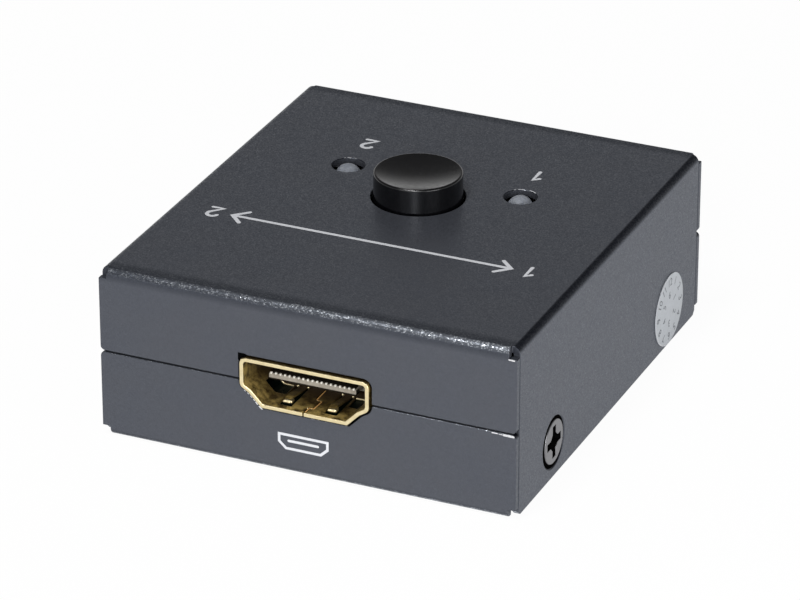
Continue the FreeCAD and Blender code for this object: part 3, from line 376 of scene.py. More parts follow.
def plastic(name, dark, light, grain, rough, depth=PLASTIC_DEPTH, specular=0.4):
    """A moulded plastic with a faint mottle and a moulded grain."""
    gloss = (rough + PLASTIC_SWING[0], rough + PLASTIC_SWING[1])
    pattern = {"grain": grain, "detail": 4.0, "roughness": 0.6}
    material, shader = mottled(name, (dark, light), gloss, depth, pattern)
    shader.inputs["Specular IOR Level"].default_value = specular
    return material


def print_ink(name, dark, light, specular=0.5):
    """Screen-printed ink with slightly uneven cover."""
    pattern = {"grain": INK_GRAIN, "detail": 3.0, "roughness": 0.7}
    material, shader = mottled(name, (dark, light), INK_ROUGHNESS, INK_DEPTH, pattern)
    shader.inputs["Specular IOR Level"].default_value = specular
    return material


# The lamps' resin

RESIN_PATTERN = {"grain": 0.8 * MM, "detail": 3.0, "roughness": 0.55}
RESIN_DEPTH = 0.003 * MM
RESIN_TONES = ((0.165, 0.178, 0.205), (0.225, 0.24, 0.27))
RESIN_ROUGHNESS = (0.45, 0.6)
RESIN_SPECULAR = 0.25
RESIN_SCATTER = 0.4
RESIN_SCATTER_RADIUS = (0.5, 0.5, 0.6)
RESIN_SCATTER_SCALE = 0.4 * MM


def lamp_resin():
    """Milky resin that lets a little light through."""
    material, shader = mottled("led_resin", RESIN_TONES, RESIN_ROUGHNESS, RESIN_DEPTH,
                               RESIN_PATTERN, strength=FINE_STRENGTH)
    shader.inputs["Specular IOR Level"].default_value = RESIN_SPECULAR
    shader.inputs["Subsurface Weight"].default_value = RESIN_SCATTER
    shader.inputs["Subsurface Radius"].default_value = RESIN_SCATTER_RADIUS
    shader.inputs["Subsurface Scale"].default_value = RESIN_SCATTER_SCALE
    return material


# The board's solder mask

BOARD_PATTERN = {"grain": 0.6 * MM, "detail": 2.0, "roughness": 0.5, "stretch": (1, 0.3, 1)}
BOARD_DEPTH = 0.006 * MM
# Painted shade: the mask is made near black to stand for the shade inside the case
BOARD_TONES = ((0.0015, 0.004, 0.003), (0.0025, 0.0065, 0.0045))
BOARD_ROUGHNESS = (0.25, 0.4)
BOARD_SPECULAR = 0.08


def board_laminate():
    """Very dark green solder mask over a faint woven laminate, made near black as painted shade
    inside the case.
    """
    material, shader = mottled("board_laminate", BOARD_TONES, BOARD_ROUGHNESS, BOARD_DEPTH,
                               BOARD_PATTERN)
    shader.inputs["Specular IOR Level"].default_value = BOARD_SPECULAR
    return material


# Name, dark tone, light tone, grain, roughness and, where it isn't even, stretch of the grain

METALS = (
    ("screw_steel", (0.17, 0.17, 0.18), (0.24, 0.24, 0.25), 0.3 * MM, 0.4),
    ("pillar_brass", (0.6, 0.44, 0.18), (0.74, 0.57, 0.28), 0.4 * MM, 0.3, (1, 1, 0.2)),
    ("plated_steel", (0.5, 0.5, 0.5), (0.68, 0.68, 0.67), 0.4 * MM, 0.28),
    ("contact_gold", (0.5, 0.42, 0.24), (0.64, 0.55, 0.34), 0.3 * MM, 0.34),
    ("tinned_metal", (0.5, 0.5, 0.48), (0.66, 0.66, 0.63), 0.3 * MM, 0.34),
    ("spring_steel", (0.4, 0.4, 0.4), (0.56, 0.56, 0.55), 0.2 * MM, 0.3),
    # Bright steel for painted glints
    ("bare_steel", (0.7, 0.71, 0.73), (0.9, 0.9, 0.92), 0.15 * MM, 0.3),
    ("finger_gold", (0.85, 0.74, 0.45), (0.95, 0.86, 0.6), 0.3 * MM, 0.35),
)

# Name, dark tone, light tone, grain, roughness and, where they differ, grain height and specular

PLASTICS = (
    ("socket_plastic", (0.24, 0.215, 0.175), (0.33, 0.3, 0.25), 0.5 * MM, 0.5),
    ("button_plastic", (0.001, 0.001, 0.0014), (0.002, 0.002, 0.0026), 0.5 * MM, 0.2,
     0.0006 * MM, 0.5),
    ("switch_plastic", (0.02, 0.02, 0.021), (0.034, 0.034, 0.036), 0.5 * MM, 0.5),
    ("slider_plastic", (0.66, 0.66, 0.62), (0.78, 0.78, 0.75), 0.8 * MM, 0.45),
    ("chip_resin", (0.015, 0.015, 0.016), (0.028, 0.028, 0.03), 0.2 * MM, 0.6),
    ("ceramic_tan", (0.36, 0.26, 0.16), (0.48, 0.37, 0.24), 0.2 * MM, 0.5),
    ("resistor_black", (0.02, 0.02, 0.022), (0.04, 0.04, 0.042), 0.2 * MM, 0.3),
    ("seal_film", (0.41, 0.435, 0.465), (0.465, 0.49, 0.52), 0.7 * MM, 0.45),
    # A paler copy of the socket plastic, for the beads' painted highlight
    ("socket_rib", (0.66, 0.64, 0.57), (0.8, 0.78, 0.72), 0.3 * MM, 0.4),
)

# Name, dark tone, light tone and, where it differs, specular

INKS = (
    # Ink for painted shade in the sockets
    ("socket_dark", (0.01, 0.008, 0.006), (0.02, 0.017, 0.013), 0.0),
    ("print_white", (0.54, 0.55, 0.58), (0.62, 0.63, 0.66)),
    ("print_grey", (0.1, 0.105, 0.12), (0.15, 0.16, 0.18)),
    ("seam_dark", (0.012, 0.008, 0.004), (0.024, 0.015, 0.006), 0.1),
    # The sheared metal's own orange, brightened as painted highlight
    ("seam_bright", (0.8, 0.42, 0.13), (0.95, 0.55, 0.18)),
    # Black for painted shade in recesses and gaps
    ("recess_black", (0.001, 0.001, 0.001), (0.003, 0.003, 0.003), 0.0),
)

MATERIALS = {
    "painted_steel": painted_steel(),
    "gold_shell": gold_shell(),
    "led_resin": lamp_resin(),
    "board_laminate": board_laminate(),
}
for make, rows in ((metal, METALS), (plastic, PLASTICS), (print_ink, INKS)):
    for row in rows:
        MATERIALS[row[0]] = make(*row)


def dress_frame():
    """Give every carried-over solid the material of its own slot."""
    for row in frame["record"]["subparts"]:
        solid = frame["nodes"][row["node"]]
        solid.data.materials.clear()
        solid.data.materials.append(MATERIALS[row["material_slot"]])


# Mesh helpers

CREASE = 50
LEAD_SHARE = 0.3


def settle_normals(mesh):
    """Let the widest face at each corner lead: flats shade flat, small faces turn smoothly."""
    limit = math.cos(math.radians(CREASE))
    normals = [face.normal.copy() for face in mesh.polygons]
    areas = [face.area for face in mesh.polygons]
    around = [[] for _ in mesh.vertices]
    for face in mesh.polygons:
        for vertex in face.vertices:
            around[vertex].append(face.index)
    corners = []
    for face in mesh.polygons:
        own = normals[face.index]
        for vertex in face.vertices:
            near = [i for i in around[vertex] if normals[i].dot(own) > limit]
            widest = max([areas[i] for i in near] + [areas[face.index]])
            lead = sum((normals[i] * areas[i] for i in near if areas[i] > LEAD_SHARE * widest),
                       Vector())
            corners.append(lead.normalized() if lead.length else own)
    mesh.normals_split_custom_set(corners)


def finish_piece(name, work, body, slot, material=None):
    """Turn a working mesh into a smooth-shaded piece that rides on a body."""
    mesh = bpy.data.meshes.new(name)
    work.to_mesh(mesh)
    work.free()
    mesh.shade_smooth()
    settle_normals(mesh)
    piece = bpy.data.objects.new(name, mesh)
    bpy.context.scene.collection.objects.link(piece)
    piece.data.materials.append(MATERIALS[material or slot])
    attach(piece, body)
    return piece


def add_mesh(joined, work):
    """Add a working mesh to another one."""
    mesh = bpy.data.meshes.new("part")
    work.to_mesh(mesh)
    work.free()
    joined.from_mesh(mesh)


def arc_points(centre, radius, start, end, steps):
    """Points on an arc, angles in degrees."""
    angles = [math.radians(start + (end - start) * i / steps) for i in range(steps + 1)]
    return [(centre[0] + radius * math.cos(a), centre[1] + radius * math.sin(a)) for a in angles]


def turned(profile, centre, steps):
    """A closed body turned round an upright axis from (radius, height) points."""
    work = bmesh.new()
    rings = []
    for radius, height in profile:
        if not radius:
            rings.append([work.verts.new((centre.x, centre.y, height))])
            continue
        ring = []
        for i in range(steps):
            angle = 2 * math.pi * i / steps
            ring.append(work.verts.new((centre.x + radius * math.cos(angle),
                                        centre.y + radius * math.sin(angle), height)))
        rings.append(ring)
    for low, high in zip(rings, rings[1:]):
        for i in range(steps):
            j = (i + 1) % steps
            corners = [low[i % len(low)], low[j % len(low)],
                       high[j % len(high)], high[i % len(high)]]
            unique = []
            for corner in corners:
                if corner not in unique:
                    unique.append(corner)
            work.faces.new(unique)
    bmesh.ops.recalc_face_normals(work, faces=work.faces)
    return work


def join_loops(work, first, second):
    """Quads between two loops of the same length."""
    for i, corner in enumerate(first):
        k = (i + 1) % len(first)
        work.faces.new([corner, first[k], second[k], second[i]])


# Solids of the frame with their sharp edges broken

EDGE_BREAK = 0.09 * MM
PLATE_BREAK = 0.11 * MM
PLASTIC_BREAK = 0.04 * MM
SEAL_BREAK = 0.03 * MM
LAMP_HOLE_BREAK = 0.1 * MM
EDGE_STEPS = 2
LAMP_HOLE_STEPS = 4
LAMP_HOLE_REACH = 0.6 * MM
LEVEL_SLACK = 0.01 * MM
WELD_DISTANCE = 0.0005 * MM
FLAT_LIMIT = 0.3
SHARP_LIMIT = 25


def break_edges(work, edges, width, steps):
    """Round the edges by a small width."""
    bmesh.ops.bevel(work, geom=edges, offset=width, offset_type="OFFSET", segments=steps,
                    profile=0.5, affect="EDGES", clamp_overlap=False, miter_outer="ARC")


def at_lamp_hole(edge):
    """Whether an edge is on the upper rim of either lamp's hole."""
    for node in ("led_1", "led_2"):
        low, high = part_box(node)
        middle = (low + high) / 2
        for vertex in edge.verts:
            reach = (vertex.co.xy - middle.xy).length
            if vertex.co.z < TOP - LEVEL_SLACK or reach > high.x - middle.x + LAMP_HOLE_REACH:
                break
        else:
            return True
    return False


def softened(node, width, lamp_holes=False):
    """A solid of the frame with its sharp edges broken, in place of the bare solid."""
    work = bmesh.new()
    work.from_mesh(frame["nodes"][node].data)
    bmesh.ops.remove_doubles(work, verts=work.verts, dist=WELD_DISTANCE)
    bmesh.ops.dissolve_limit(work, angle_limit=math.radians(FLAT_LIMIT),
                             verts=work.verts, edges=work.edges)
    if lamp_holes:
        edges = [e for e in work.edges if e.is_manifold and at_lamp_hole(e)]
        break_edges(work, edges, LAMP_HOLE_BREAK, LAMP_HOLE_STEPS)
    sharp = math.radians(SHARP_LIMIT)
    edges = [e for e in work.edges if e.is_manifold and e.calc_face_angle() > sharp]
    break_edges(work, edges, width, EDGE_STEPS)
    slot = [row["material_slot"] for row in frame["record"]["subparts"] if row["node"] == node][0]
    piece = finish_piece("dressed_" + node, work, "case", slot)
    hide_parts(node)


# The button's cap and the two lamps

BUTTON_RIM = 0.22 * MM
BUTTON_RIM_STEPS = 9
BUTTON_DISH_SLOPE = 14.0
BUTTON_DISH_STEPS = 16
BUTTON_STEPS = 96
LAMP_DOME_STEPS = 16
LAMP_STEPS = 64


def push_button():
    """The glossy cap: a shallow dish that rolls over into the side."""
    centre = (BUTTON_LOW + BUTTON_HIGH) / 2
    radius = (BUTTON_HIGH.x - BUTTON_LOW.x) / 2
    high = BUTTON_HIGH.z
    profile = [(0, BUTTON_LOW.z), (radius, BUTTON_LOW.z)]
    rim = arc_points((radius - BUTTON_RIM, high - BUTTON_RIM), BUTTON_RIM,
                     0, 90 + BUTTON_DISH_SLOPE, BUTTON_RIM_STEPS)
    dish_radius, dish_top = rim[-1]
    slope = math.radians(BUTTON_DISH_SLOPE)
    sphere = dish_radius / math.sin(slope)
    dish = arc_points((0, dish_top + sphere * math.cos(slope)), sphere,
                      BUTTON_DISH_SLOPE - 90, -90, BUTTON_DISH_STEPS)
    profile += rim + dish[1:-1] + [(0, dish[-1][1])]
    work = turned(profile, centre, BUTTON_STEPS)
    piece = finish_piece("button_cap", work, "button", "button_plastic")
    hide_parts("push_button")


def lamps():
    """Round-tipped lamps, finer than the frame's solids."""
    for node in ("led_1", "led_2"):
        low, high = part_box(node)
        centre = (low + high) / 2
        radius = (high.x - low.x) / 2
        profile = [(0, low.z), (radius, low.z)]
        dome = arc_points((0, high.z - radius), radius, 0, 90, LAMP_DOME_STEPS)
        profile += dome[:-1] + [(0, high.z)]
        work = turned(profile, centre, LAMP_STEPS)
        piece = finish_piece("lamp_" + node[-1], work, "case", "led_resin")
        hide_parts(node)


# The return spring inside the switch

SPRING_WIRE = 0.34 * MM
SPRING_TURNS = 4
SPRING_STEPS = 32
SPRING_SIDES = 10


def return_spring():
    """A coil between the switch's base and its slider; the real one flattens as the button sinks,
    but this coil keeps one length.
    """
    low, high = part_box("switch_spring")
    middle = (low + high) / 2
    half_wire = SPRING_WIRE / 2
    reach = (high.x - low.x) / 2 - half_wire
    steps = SPRING_TURNS * SPRING_STEPS
    work = bmesh.new()
    rings = []
    for i in range(steps + 1):
        angle = 2 * math.pi * i / SPRING_STEPS
        level = low.z + half_wire + (high.z - low.z - SPRING_WIRE) * i / steps
        ring = []
        for k in range(SPRING_SIDES):
            around = 2 * math.pi * k / SPRING_SIDES
            out = reach + half_wire * math.cos(around)
            ring.append(work.verts.new((middle.x + out * math.cos(angle),
                                        middle.y + out * math.sin(angle),
                                        level + half_wire * math.sin(around))))
        rings.append(ring)
    for first, second in zip(rings, rings[1:]):
        join_loops(work, first, second)
    work.faces.new(rings[0])
    work.faces.new(rings[-1])
    bmesh.ops.recalc_face_normals(work, faces=work.faces)
    piece = finish_piece("spring_coil", work, "case", "spring_steel")
    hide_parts("switch_spring")
    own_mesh(piece)


# Flat print

MITRE_LIMIT = 0.7
ROUND_END_STEPS = 8


def flat_digits(text, size):
    """The outline of plain digits as a thin flat mesh about its own middle."""
    curve = bpy.data.curves.new("digits", "FONT")
    curve.body = text
    curve.size = size
    curve.align_x = "CENTER"
    curve.align_y = "CENTER"
    holder = bpy.data.objects.new("digits", curve)
    bpy.context.scene.collection.objects.link(holder)
    bpy.context.view_layer.update()
    mesh = bpy.data.meshes.new_from_object(holder)
    bpy.data.objects.remove(holder)
    work = bmesh.new()
    work.from_mesh(mesh)
    return work


def add_print(name, drawings, material="print_white", slot="painted_steel"):
    """Join flat drawings, each with its own placement, into one printed piece."""
    joined = bmesh.new()
    for work, place in drawings:
        work.transform(place)
        add_mesh(joined, work)
    return finish_piece(name, joined, "case", slot, material)


def band(points, width, closed=False):
    """A flat ribbon of even width through the points, with mitred corners and round ends."""
    line = [Vector(point) for point in points]
    count = len(line)
    left, right = [], []
    for i, point in enumerate(line):
        before = line[i - 1] if closed or i else None
        after = line[(i + 1) % count] if closed or i < count - 1 else None
        runs = []
        if before is not None:
            runs.append((point - before).normalized())
        if after is not None:
            runs.append((after - point).normalized())
        sides = [Vector((-run.y, run.x)) for run in runs]
        mitre = sum(sides, Vector((0, 0))).normalized()
        reach = width / 2 / max(mitre.dot(sides[0]), MITRE_LIMIT)
        left.append(point + mitre * reach)
        right.append(point - mitre * reach)
    work = bmesh.new()
    lefts = [work.verts.new((p.x, p.y, 0)) for p in left]
    rights = [work.verts.new((p.x, p.y, 0)) for p in right]
    for i in range(count if closed else count - 1):
        k = (i + 1) % count
        work.faces.new([lefts[i], rights[i], rights[k], lefts[k]])
    if not closed:
        for centre, start, first, last in ((line[0], left[0], lefts[0], rights[0]),
                                           (line[-1], right[-1], rights[-1], lefts[-1])):
            arm = start - centre
            rim = [first]
            for step in range(1, ROUND_END_STEPS):
                angle = math.pi * step / ROUND_END_STEPS
                turn = Vector((arm.x * math.cos(angle) - arm.y * math.sin(angle),
                               arm.x * math.sin(angle) + arm.y * math.cos(angle)))
                spot = centre + turn
                rim.append(work.verts.new((spot.x, spot.y, 0)))
            work.faces.new(rim + [last])
    work.normal_update()
    for face in work.faces:
        if face.normal.z < 0:
            face.normal_flip()
    return work


# Where the print lies: the top reads upright from the rear; numbers as (digit, x, y) in mm

DIGIT_HEIGHT = 2.17 * MM
DIGIT_STROKE = 0.44 * MM
LAMP_NUMBERS = (("1", 9.7, 13.35), ("2", -10.74, 13.62))
SIGN_NUMBERS = (("1", 18.1, -9.25), ("2", -18.8, -9.25))
ARROW_LEFT = -16.6 * MM
ARROW_RIGHT = 16.0 * MM
ARROW_Y = -9.25 * MM
ARROW_BARB = 1.4 * MM
ARROW_STROKE = 0.46 * MM
SHAFT_GAP = 1.1
SHAFT_LIFT = 0.004 * MM

# Middle lines of the two digits, in shares of their height: the 2 is an arc and a foot

ONE = [(-0.23, 0.27), (0.04, 0.5), (0.04, -0.5)]
TWO = arc_points((0, 0.22), 0.28, 165, -38, 12) + [(-0.3, -0.5), (0.3, -0.5)]


def top_print():
    """The lamps' numbers, and a plain double-headed arrow between the same two numbers."""
    level = TOP + PRINT_LIFT
    half_turn = Matrix.Rotation(math.pi, 4, "Z")
    drawings = []
    for digit, x, y in LAMP_NUMBERS + SIGN_NUMBERS:
        line = [(u * DIGIT_HEIGHT, v * DIGIT_HEIGHT) for u, v in (ONE if digit == "1" else TWO)]
        place = Matrix.Translation((x * MM, y * MM, level)) @ half_turn
        drawings.append((band(line, DIGIT_STROKE), place))
    for tip, way in ((ARROW_LEFT, 1), (ARROW_RIGHT, -1)):
        back = tip + way * ARROW_BARB
        head = [(back, ARROW_Y + ARROW_BARB), (tip, ARROW_Y), (back, ARROW_Y - ARROW_BARB)]
        drawings.append((band(head, ARROW_STROKE), Matrix.Translation((0, 0, level))))
    gap = SHAFT_GAP * ARROW_STROKE
    shaft = [(ARROW_LEFT + gap, ARROW_Y), (ARROW_RIGHT - gap, ARROW_Y)]
    place = Matrix.Translation((0, 0, level + SHAFT_LIFT))
    drawings.append((band(shaft, ARROW_STROKE), place))
    add_print("top_print", drawings)


# The sign under the front port; its corners and tongue in shares of its half width and height

PORT_SIGN_X = -0.23 * MM
PORT_SIGN_Z = 3.75 * MM
PORT_SIGN_WIDTH = 5.6 * MM
PORT_SIGN_HEIGHT = 1.6 * MM
PORT_SIGN_STROKE = 0.3 * MM
PORT_SIGN_OUTLINE = ((-1, 1), (-1, -0.1), (-0.72, -1), (0.72, -1), (1, -0.1), (1, 1))
PORT_SIGN_TONGUE = ((-0.6, 0.15), (0.6, 0.15))


def port_print():
    """A small outline of the socket's own shape, with its tongue, under the single port."""
    half = PORT_SIGN_WIDTH / 2
    top = PORT_SIGN_HEIGHT / 2
    outline = [(u * half, v * top) for u, v in PORT_SIGN_OUTLINE]
    tongue = [(u * half, v * top) for u, v in PORT_SIGN_TONGUE]
    upright = Matrix.Rotation(math.pi / 2, 4, "X")
    place = Matrix.Translation((PORT_SIGN_X, FRONT_FACE - PRINT_LIFT, PORT_SIGN_Z)) @ upright
    add_print("port_print", [(band(outline, PORT_SIGN_STROKE, closed=True), place),
                             (band(tongue, PORT_SIGN_STROKE), place)])


# The seal's rings as (how many numbers, radius, size of a digit) in mm, and a painted highlight on
# its edge

SEAL_RINGS = ((12, 3.25, 1.3), (6, 1.7, 1.2))
SEAL_RIM = 0.13 * MM
SEAL_RIM_INSET = 0.6
SEAL_RIM_ARC = (95, 265)
SEAL_RIM_STEPS = 40


def seal_print():
    """Two rings of plain numbers, as on a dial, on the round seal, and a painted highlight along
    its front edge.
    """
    middle = (SEAL_LOW + SEAL_HIGH) / 2
    upright = Matrix.Rotation(math.pi / 2, 4, "Z") @ Matrix.Rotation(math.pi / 2, 4, "X")
    place = Matrix.Translation((SEAL_HIGH.x + PRINT_LIFT, middle.y, middle.z)) @ upright
    drawings = []
    for count, radius, size in SEAL_RINGS:
        for number in range(1, count + 1):
            angle = math.pi / 2 - 2 * math.pi * number / count
            spot = Matrix.Translation((radius * MM * math.cos(angle),
                                       radius * MM * math.sin(angle), 0))
            turn = Matrix.Rotation(angle - math.pi / 2, 4, "Z")
            drawings.append((flat_digits(str(number), size * MM), place @ spot @ turn))
    add_print("seal_print", drawings, "print_grey", "seal_film")
    # Painted highlight in white ink along the seal's front edge
    radius = (SEAL_HIGH.y - SEAL_LOW.y) / 2 - SEAL_RIM_INSET * SEAL_RIM
    edge = arc_points((0, 0), radius, *SEAL_RIM_ARC, SEAL_RIM_STEPS)
    add_print("seal_rim", [(band(edge, SEAL_RIM), place)], "print_white", "seal_film")


# Cover screws: a thin rounded head with a deep tapered cross, with painted shade in the cross and
# the countersink

SCREW_LOW, SCREW_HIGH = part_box("cover_screws")
SCREW_HOLE = (SCREW_HIGH.z - SCREW_LOW.z) / 2
SCREW_RADIUS = SCREW_HOLE - 0.1 * MM
SCREW_ALONG = SCREW_HIGH.y - SCREW_HOLE
SCREW_LEAN = 0.12 * MM
SCREW_EDGE = 0.35 * MM
SCREW_ROUND = 0.1 * MM
SCREW_ROUND_MIDDLE = 0.3
SCREW_CONE = 0.5 * MM
SCREW_SHANK = 1.5 * MM
SCREW_LENGTH = 4.0 * MM
SCREW_STEPS = 64
CROSS_ARM = 1.9 * MM
CROSS_HALF = 0.46 * MM
CROSS_CORNER = 0.5 * MM
# Painted shade: a black ring round the head in the countersink, and black sheets lining the cross
COUNTERSINK_WIDTH = 0.34 * MM
COUNTERSINK_DROP = 0.1 * MM
SCREW_SHADE_OVERLAP = 0.2 * MM
SCREW_SHADE_STEP = 0.02 * MM
WALL_FACING = 0.9

# Share of the cross's size at each depth, for the cross itself and for the painted shade that
# lines it

CROSS_LEVELS = ((1.0, 0), (0.97, 0.06 * MM), (0.35, 1.7 * MM))
SCREW_SHADE_LEVELS = ((0.975, 0.03 * MM), (0.35 * 0.9, 1.7 * MM - 0.1 * MM))


def cross_loop(work, scale, depth):
    """The cross seen from the head, with cut inner corners, at a depth."""
    quarter = [(CROSS_ARM, CROSS_HALF), (CROSS_HALF + CROSS_CORNER, CROSS_HALF),
               (CROSS_HALF, CROSS_HALF + CROSS_CORNER), (CROSS_HALF, CROSS_ARM)]
    loop = []
    for along, up in ((1, 0), (0, 1), (-1, 0), (0, -1)):
        for u, v in quarter:
            loop.append(work.verts.new((-depth, scale * (u * along - v * up),
                                        scale * (u * up + v * along))))
    return loop


def ring_loop(work, radius, depth):
    """A round loop at a depth."""
    angles = [2 * math.pi * i / SCREW_STEPS for i in range(SCREW_STEPS)]
    return [work.verts.new((-depth, radius * math.cos(a), radius * math.sin(a))) for a in angles]


def screw():
    """One screw along X with its head's face at nought and its tip at minus its length."""
    work = bmesh.new()
    outline = [(SCREW_RADIUS - SCREW_ROUND, 0.0),
               (SCREW_RADIUS - SCREW_ROUND_MIDDLE * SCREW_ROUND, SCREW_ROUND_MIDDLE * SCREW_ROUND),
               (SCREW_RADIUS, SCREW_ROUND), (SCREW_RADIUS, SCREW_EDGE),
               (SCREW_RADIUS - SCREW_CONE, SCREW_EDGE + SCREW_CONE),
               (SCREW_SHANK, SCREW_EDGE + SCREW_CONE), (SCREW_SHANK, SCREW_LENGTH)]
    rings = [ring_loop(work, radius, depth) for radius, depth in outline]
    crosses = [cross_loop(work, scale, depth) for scale, depth in CROSS_LEVELS]
    for loops in (rings, crosses):
        for first, second in zip(loops, loops[1:]):
            join_loops(work, first, second)
        work.faces.new(loops[-1])
    around = [work.edges.get(pair) for loop in (rings[0], crosses[0])
              for pair in zip(loop, loop[1:] + loop[:1])]
    bmesh.ops.triangle_fill(work, edges=around, use_beauty=True)
    bmesh.ops.recalc_face_normals(work, faces=work.faces)
    return work


def screw_shadow():
    """Painted shade: black sheets lining the cross and the countersink round the head."""
    work = bmesh.new()
    walls = [cross_loop(work, scale, depth) for scale, depth in SCREW_SHADE_LEVELS]
    join_loops(work, *walls)
    work.faces.new(walls[1])
    join_loops(work, ring_loop(work, SCREW_HOLE + COUNTERSINK_WIDTH, COUNTERSINK_DROP),
               ring_loop(work, SCREW_RADIUS - SCREW_SHADE_OVERLAP, COUNTERSINK_DROP + SCREW_SHADE_STEP))
    work.normal_update()
    inward = [face for face in work.faces if face.normal.x < 0 or
              abs(face.normal.x) < WALL_FACING
              and face.normal.dot(face.calc_center_median()) > 0]
    bmesh.ops.reverse_faces(work, faces=inward)
    return work


def at_screws(make):
    """A shape at each of the four screws, two in each side wall, leaning towards the rear."""
    level = (SCREW_LOW.z + SCREW_HIGH.z) / 2
    joined = bmesh.new()
    for side in (1, -1):
        for along in (-SCREW_ALONG, SCREW_ALONG):
            single = make()
            turn = Matrix.Rotation(0 if side > 0 else math.pi, 4, "Z")
            place = Matrix.Translation((side * SCREW_HIGH.x, along + SCREW_LEAN, level))
            single.transform(place @ turn)
            add_mesh(joined, single)
    return joined


def cover_screws():
    """The four screws and the painted shade in their recesses."""
    piece = finish_piece("dressed_cover_screws", at_screws(screw), "case", "screw_steel")
    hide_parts("cover_screws")
    finish_piece("screw_shadows", at_screws(screw_shadow), "case", "screw_steel", "recess_black")


# Fine detail of the three sockets, each drawn about its own mouth

TONGUE_WIDTH = 10.1 * MM
TONGUE_TOP = 0.39 * MM
TONGUE_UNDER = -0.23 * MM
LIP_SET_OUT = 0.03 * MM
LIP_DEPTH = 1.0 * MM
LIP_THICKNESS = 0.02 * MM
LIP_ROUNDING = 0.1 * MM
# Painted shade: a dark strip along the lip's lower edge, and a dark block over the contacts' slots
# behind the beads
LIP_SHADE = 0.16 * MM
LIP_SHADE_STEP = 0.01 * MM
SLOT_SHADE_TOP = 0.585 * MM
SLOT_SHADE_START = 0.16 * MM
SLOT_SHADE_ROUNDING = 0.03 * MM
# The beads, drawn in a paler plastic as painted highlight
BEAD_COUNT = 19
BEAD_PITCH = 0.53 * MM
BEAD_WIDTH = 0.23 * MM
BEAD_LENGTH = 0.26 * MM
BEAD_SET_OUT = 0.02 * MM
BEAD_SINK = 0.08 * MM
BEAD_TOP = 0.55 * MM
BEAD_ROUNDING = 0.07 * MM
FLOOR_DROP = 2.3 * MM
TIP_PLACES = (-2.45 * MM, 2.7 * MM)
TIP_START = 1.25 * MM
TIP_SIZE = (0.98 * MM, 0.75 * MM, 0.4 * MM)
TIP_ROUNDING = 0.14 * MM
BLOCK_STEPS = 3

# The joint in the shell's floor as (x, y) in mm, and how its edge, bright with a painted
# highlight, lies beside its gap

JOINT_LINE = ((0, 0.35), (0, 1.35), (0.5, 1.3), (0.6, 3.1), (-0.08, 3.35), (-0.08, 5.6))
JOINT_GAP = 0.1 * MM
JOINT_EDGE_SHIFT = 0.8
JOINT_GAP_LIFT = 0.006 * MM
JOINT_EDGE_LIFT = 0.012 * MM


def port_places():
    """Each port's mouth on its axis and the turn that faces it."""
    places = []
    for mount in frame["record"]["mounts"]:
        if mount["name"].endswith("_mouth"):
            turn = Matrix.Rotation(0 if mount["axis"][1] < 0 else math.pi, 4, "Z")
            port = mount["name"].removesuffix("_mouth")
            places.append((port, Matrix.Translation(mount["pos_m"]) @ turn))
    return places


def add_block(work, low, high, rounding):
    """A block between two corners with all its edges rounded."""
    block = bmesh.new()
    for vertex in bmesh.ops.create_cube(block, size=1.0)["verts"]:
        vertex.co = Vector([low[i] + (vertex.co[i] + 0.5) * (high[i] - low[i]) for i in range(3)])
    bmesh.ops.bevel(block, geom=block.edges[:], offset=rounding, offset_type="OFFSET",
                    segments=BLOCK_STEPS, profile=0.5, affect="EDGES")
    add_mesh(work, block)


def tongue_lip(port, place):
    """The moulded lip over the contacts' ends: pale beads as painted highlight, a dark block of
    painted shade behind them, and painted shade along the lip's lower edge.
    """
    low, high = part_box(port + "_insulator")
    recess = low.y - SHELL_FRONT if port == "front_port" else SHELL_REAR - high.y
    half = TONGUE_WIDTH / 2
    front = recess - LIP_SET_OUT
    back = front + LIP_DEPTH
    upper = TONGUE_TOP + LIP_THICKNESS
    lower = TONGUE_UNDER - LIP_THICKNESS
    lip = bmesh.new()
    add_block(lip, (-half, front, lower), (half, back, upper), LIP_ROUNDING)
    lip.transform(place)
    finish_piece(port + "_lip", lip, "case", "socket_plastic")

    # Painted shade: a dark block over the contacts' slots behind the beads, and a dark strip along
    # the lip's lower edge
    slot_shade = bmesh.new()
    inside = half - SLOT_SHADE_START
    add_block(slot_shade, (-inside, front + SLOT_SHADE_START, TONGUE_TOP - LIP_THICKNESS),
              (inside, back, SLOT_SHADE_TOP), SLOT_SHADE_ROUNDING)
    outside = half + LIP_SHADE_STEP
    add_block(slot_shade, (-outside, front - LIP_SHADE_STEP, lower - LIP_SHADE_STEP),
              (outside, back, lower + LIP_SHADE), SLOT_SHADE_ROUNDING)
    slot_shade.transform(place)
    finish_piece(port + "_trough", slot_shade, "case", "socket_plastic", "socket_dark")

    # Painted highlight: the beads take a paler copy of the socket plastic
    beads = bmesh.new()
    start = front - BEAD_SET_OUT
    for i in range(BEAD_COUNT):
        x = (i - (BEAD_COUNT - 1) / 2) * BEAD_PITCH
        add_block(beads, (x - BEAD_WIDTH / 2, start, TONGUE_TOP - BEAD_SINK),
                  (x + BEAD_WIDTH / 2, start + BEAD_LENGTH, BEAD_TOP), BEAD_ROUNDING)
    beads.transform(place)
    finish_piece(port + "_beads", beads, "case", "socket_plastic", "socket_rib")


def finger_tips(port, place):
    """The rounded, curled ends of the two spring fingers in the shell's floor."""
    width, length, height = TIP_SIZE
    work = bmesh.new()
    for x in TIP_PLACES:
        add_block(work, (x - width / 2, TIP_START, -FLOOR_DROP),
                  (x + width / 2, TIP_START + length, -FLOOR_DROP + height), TIP_ROUNDING)
    work.transform(place)
    finish_piece(port + "_finger_tips", work, "case", "gold_shell", "finger_gold")


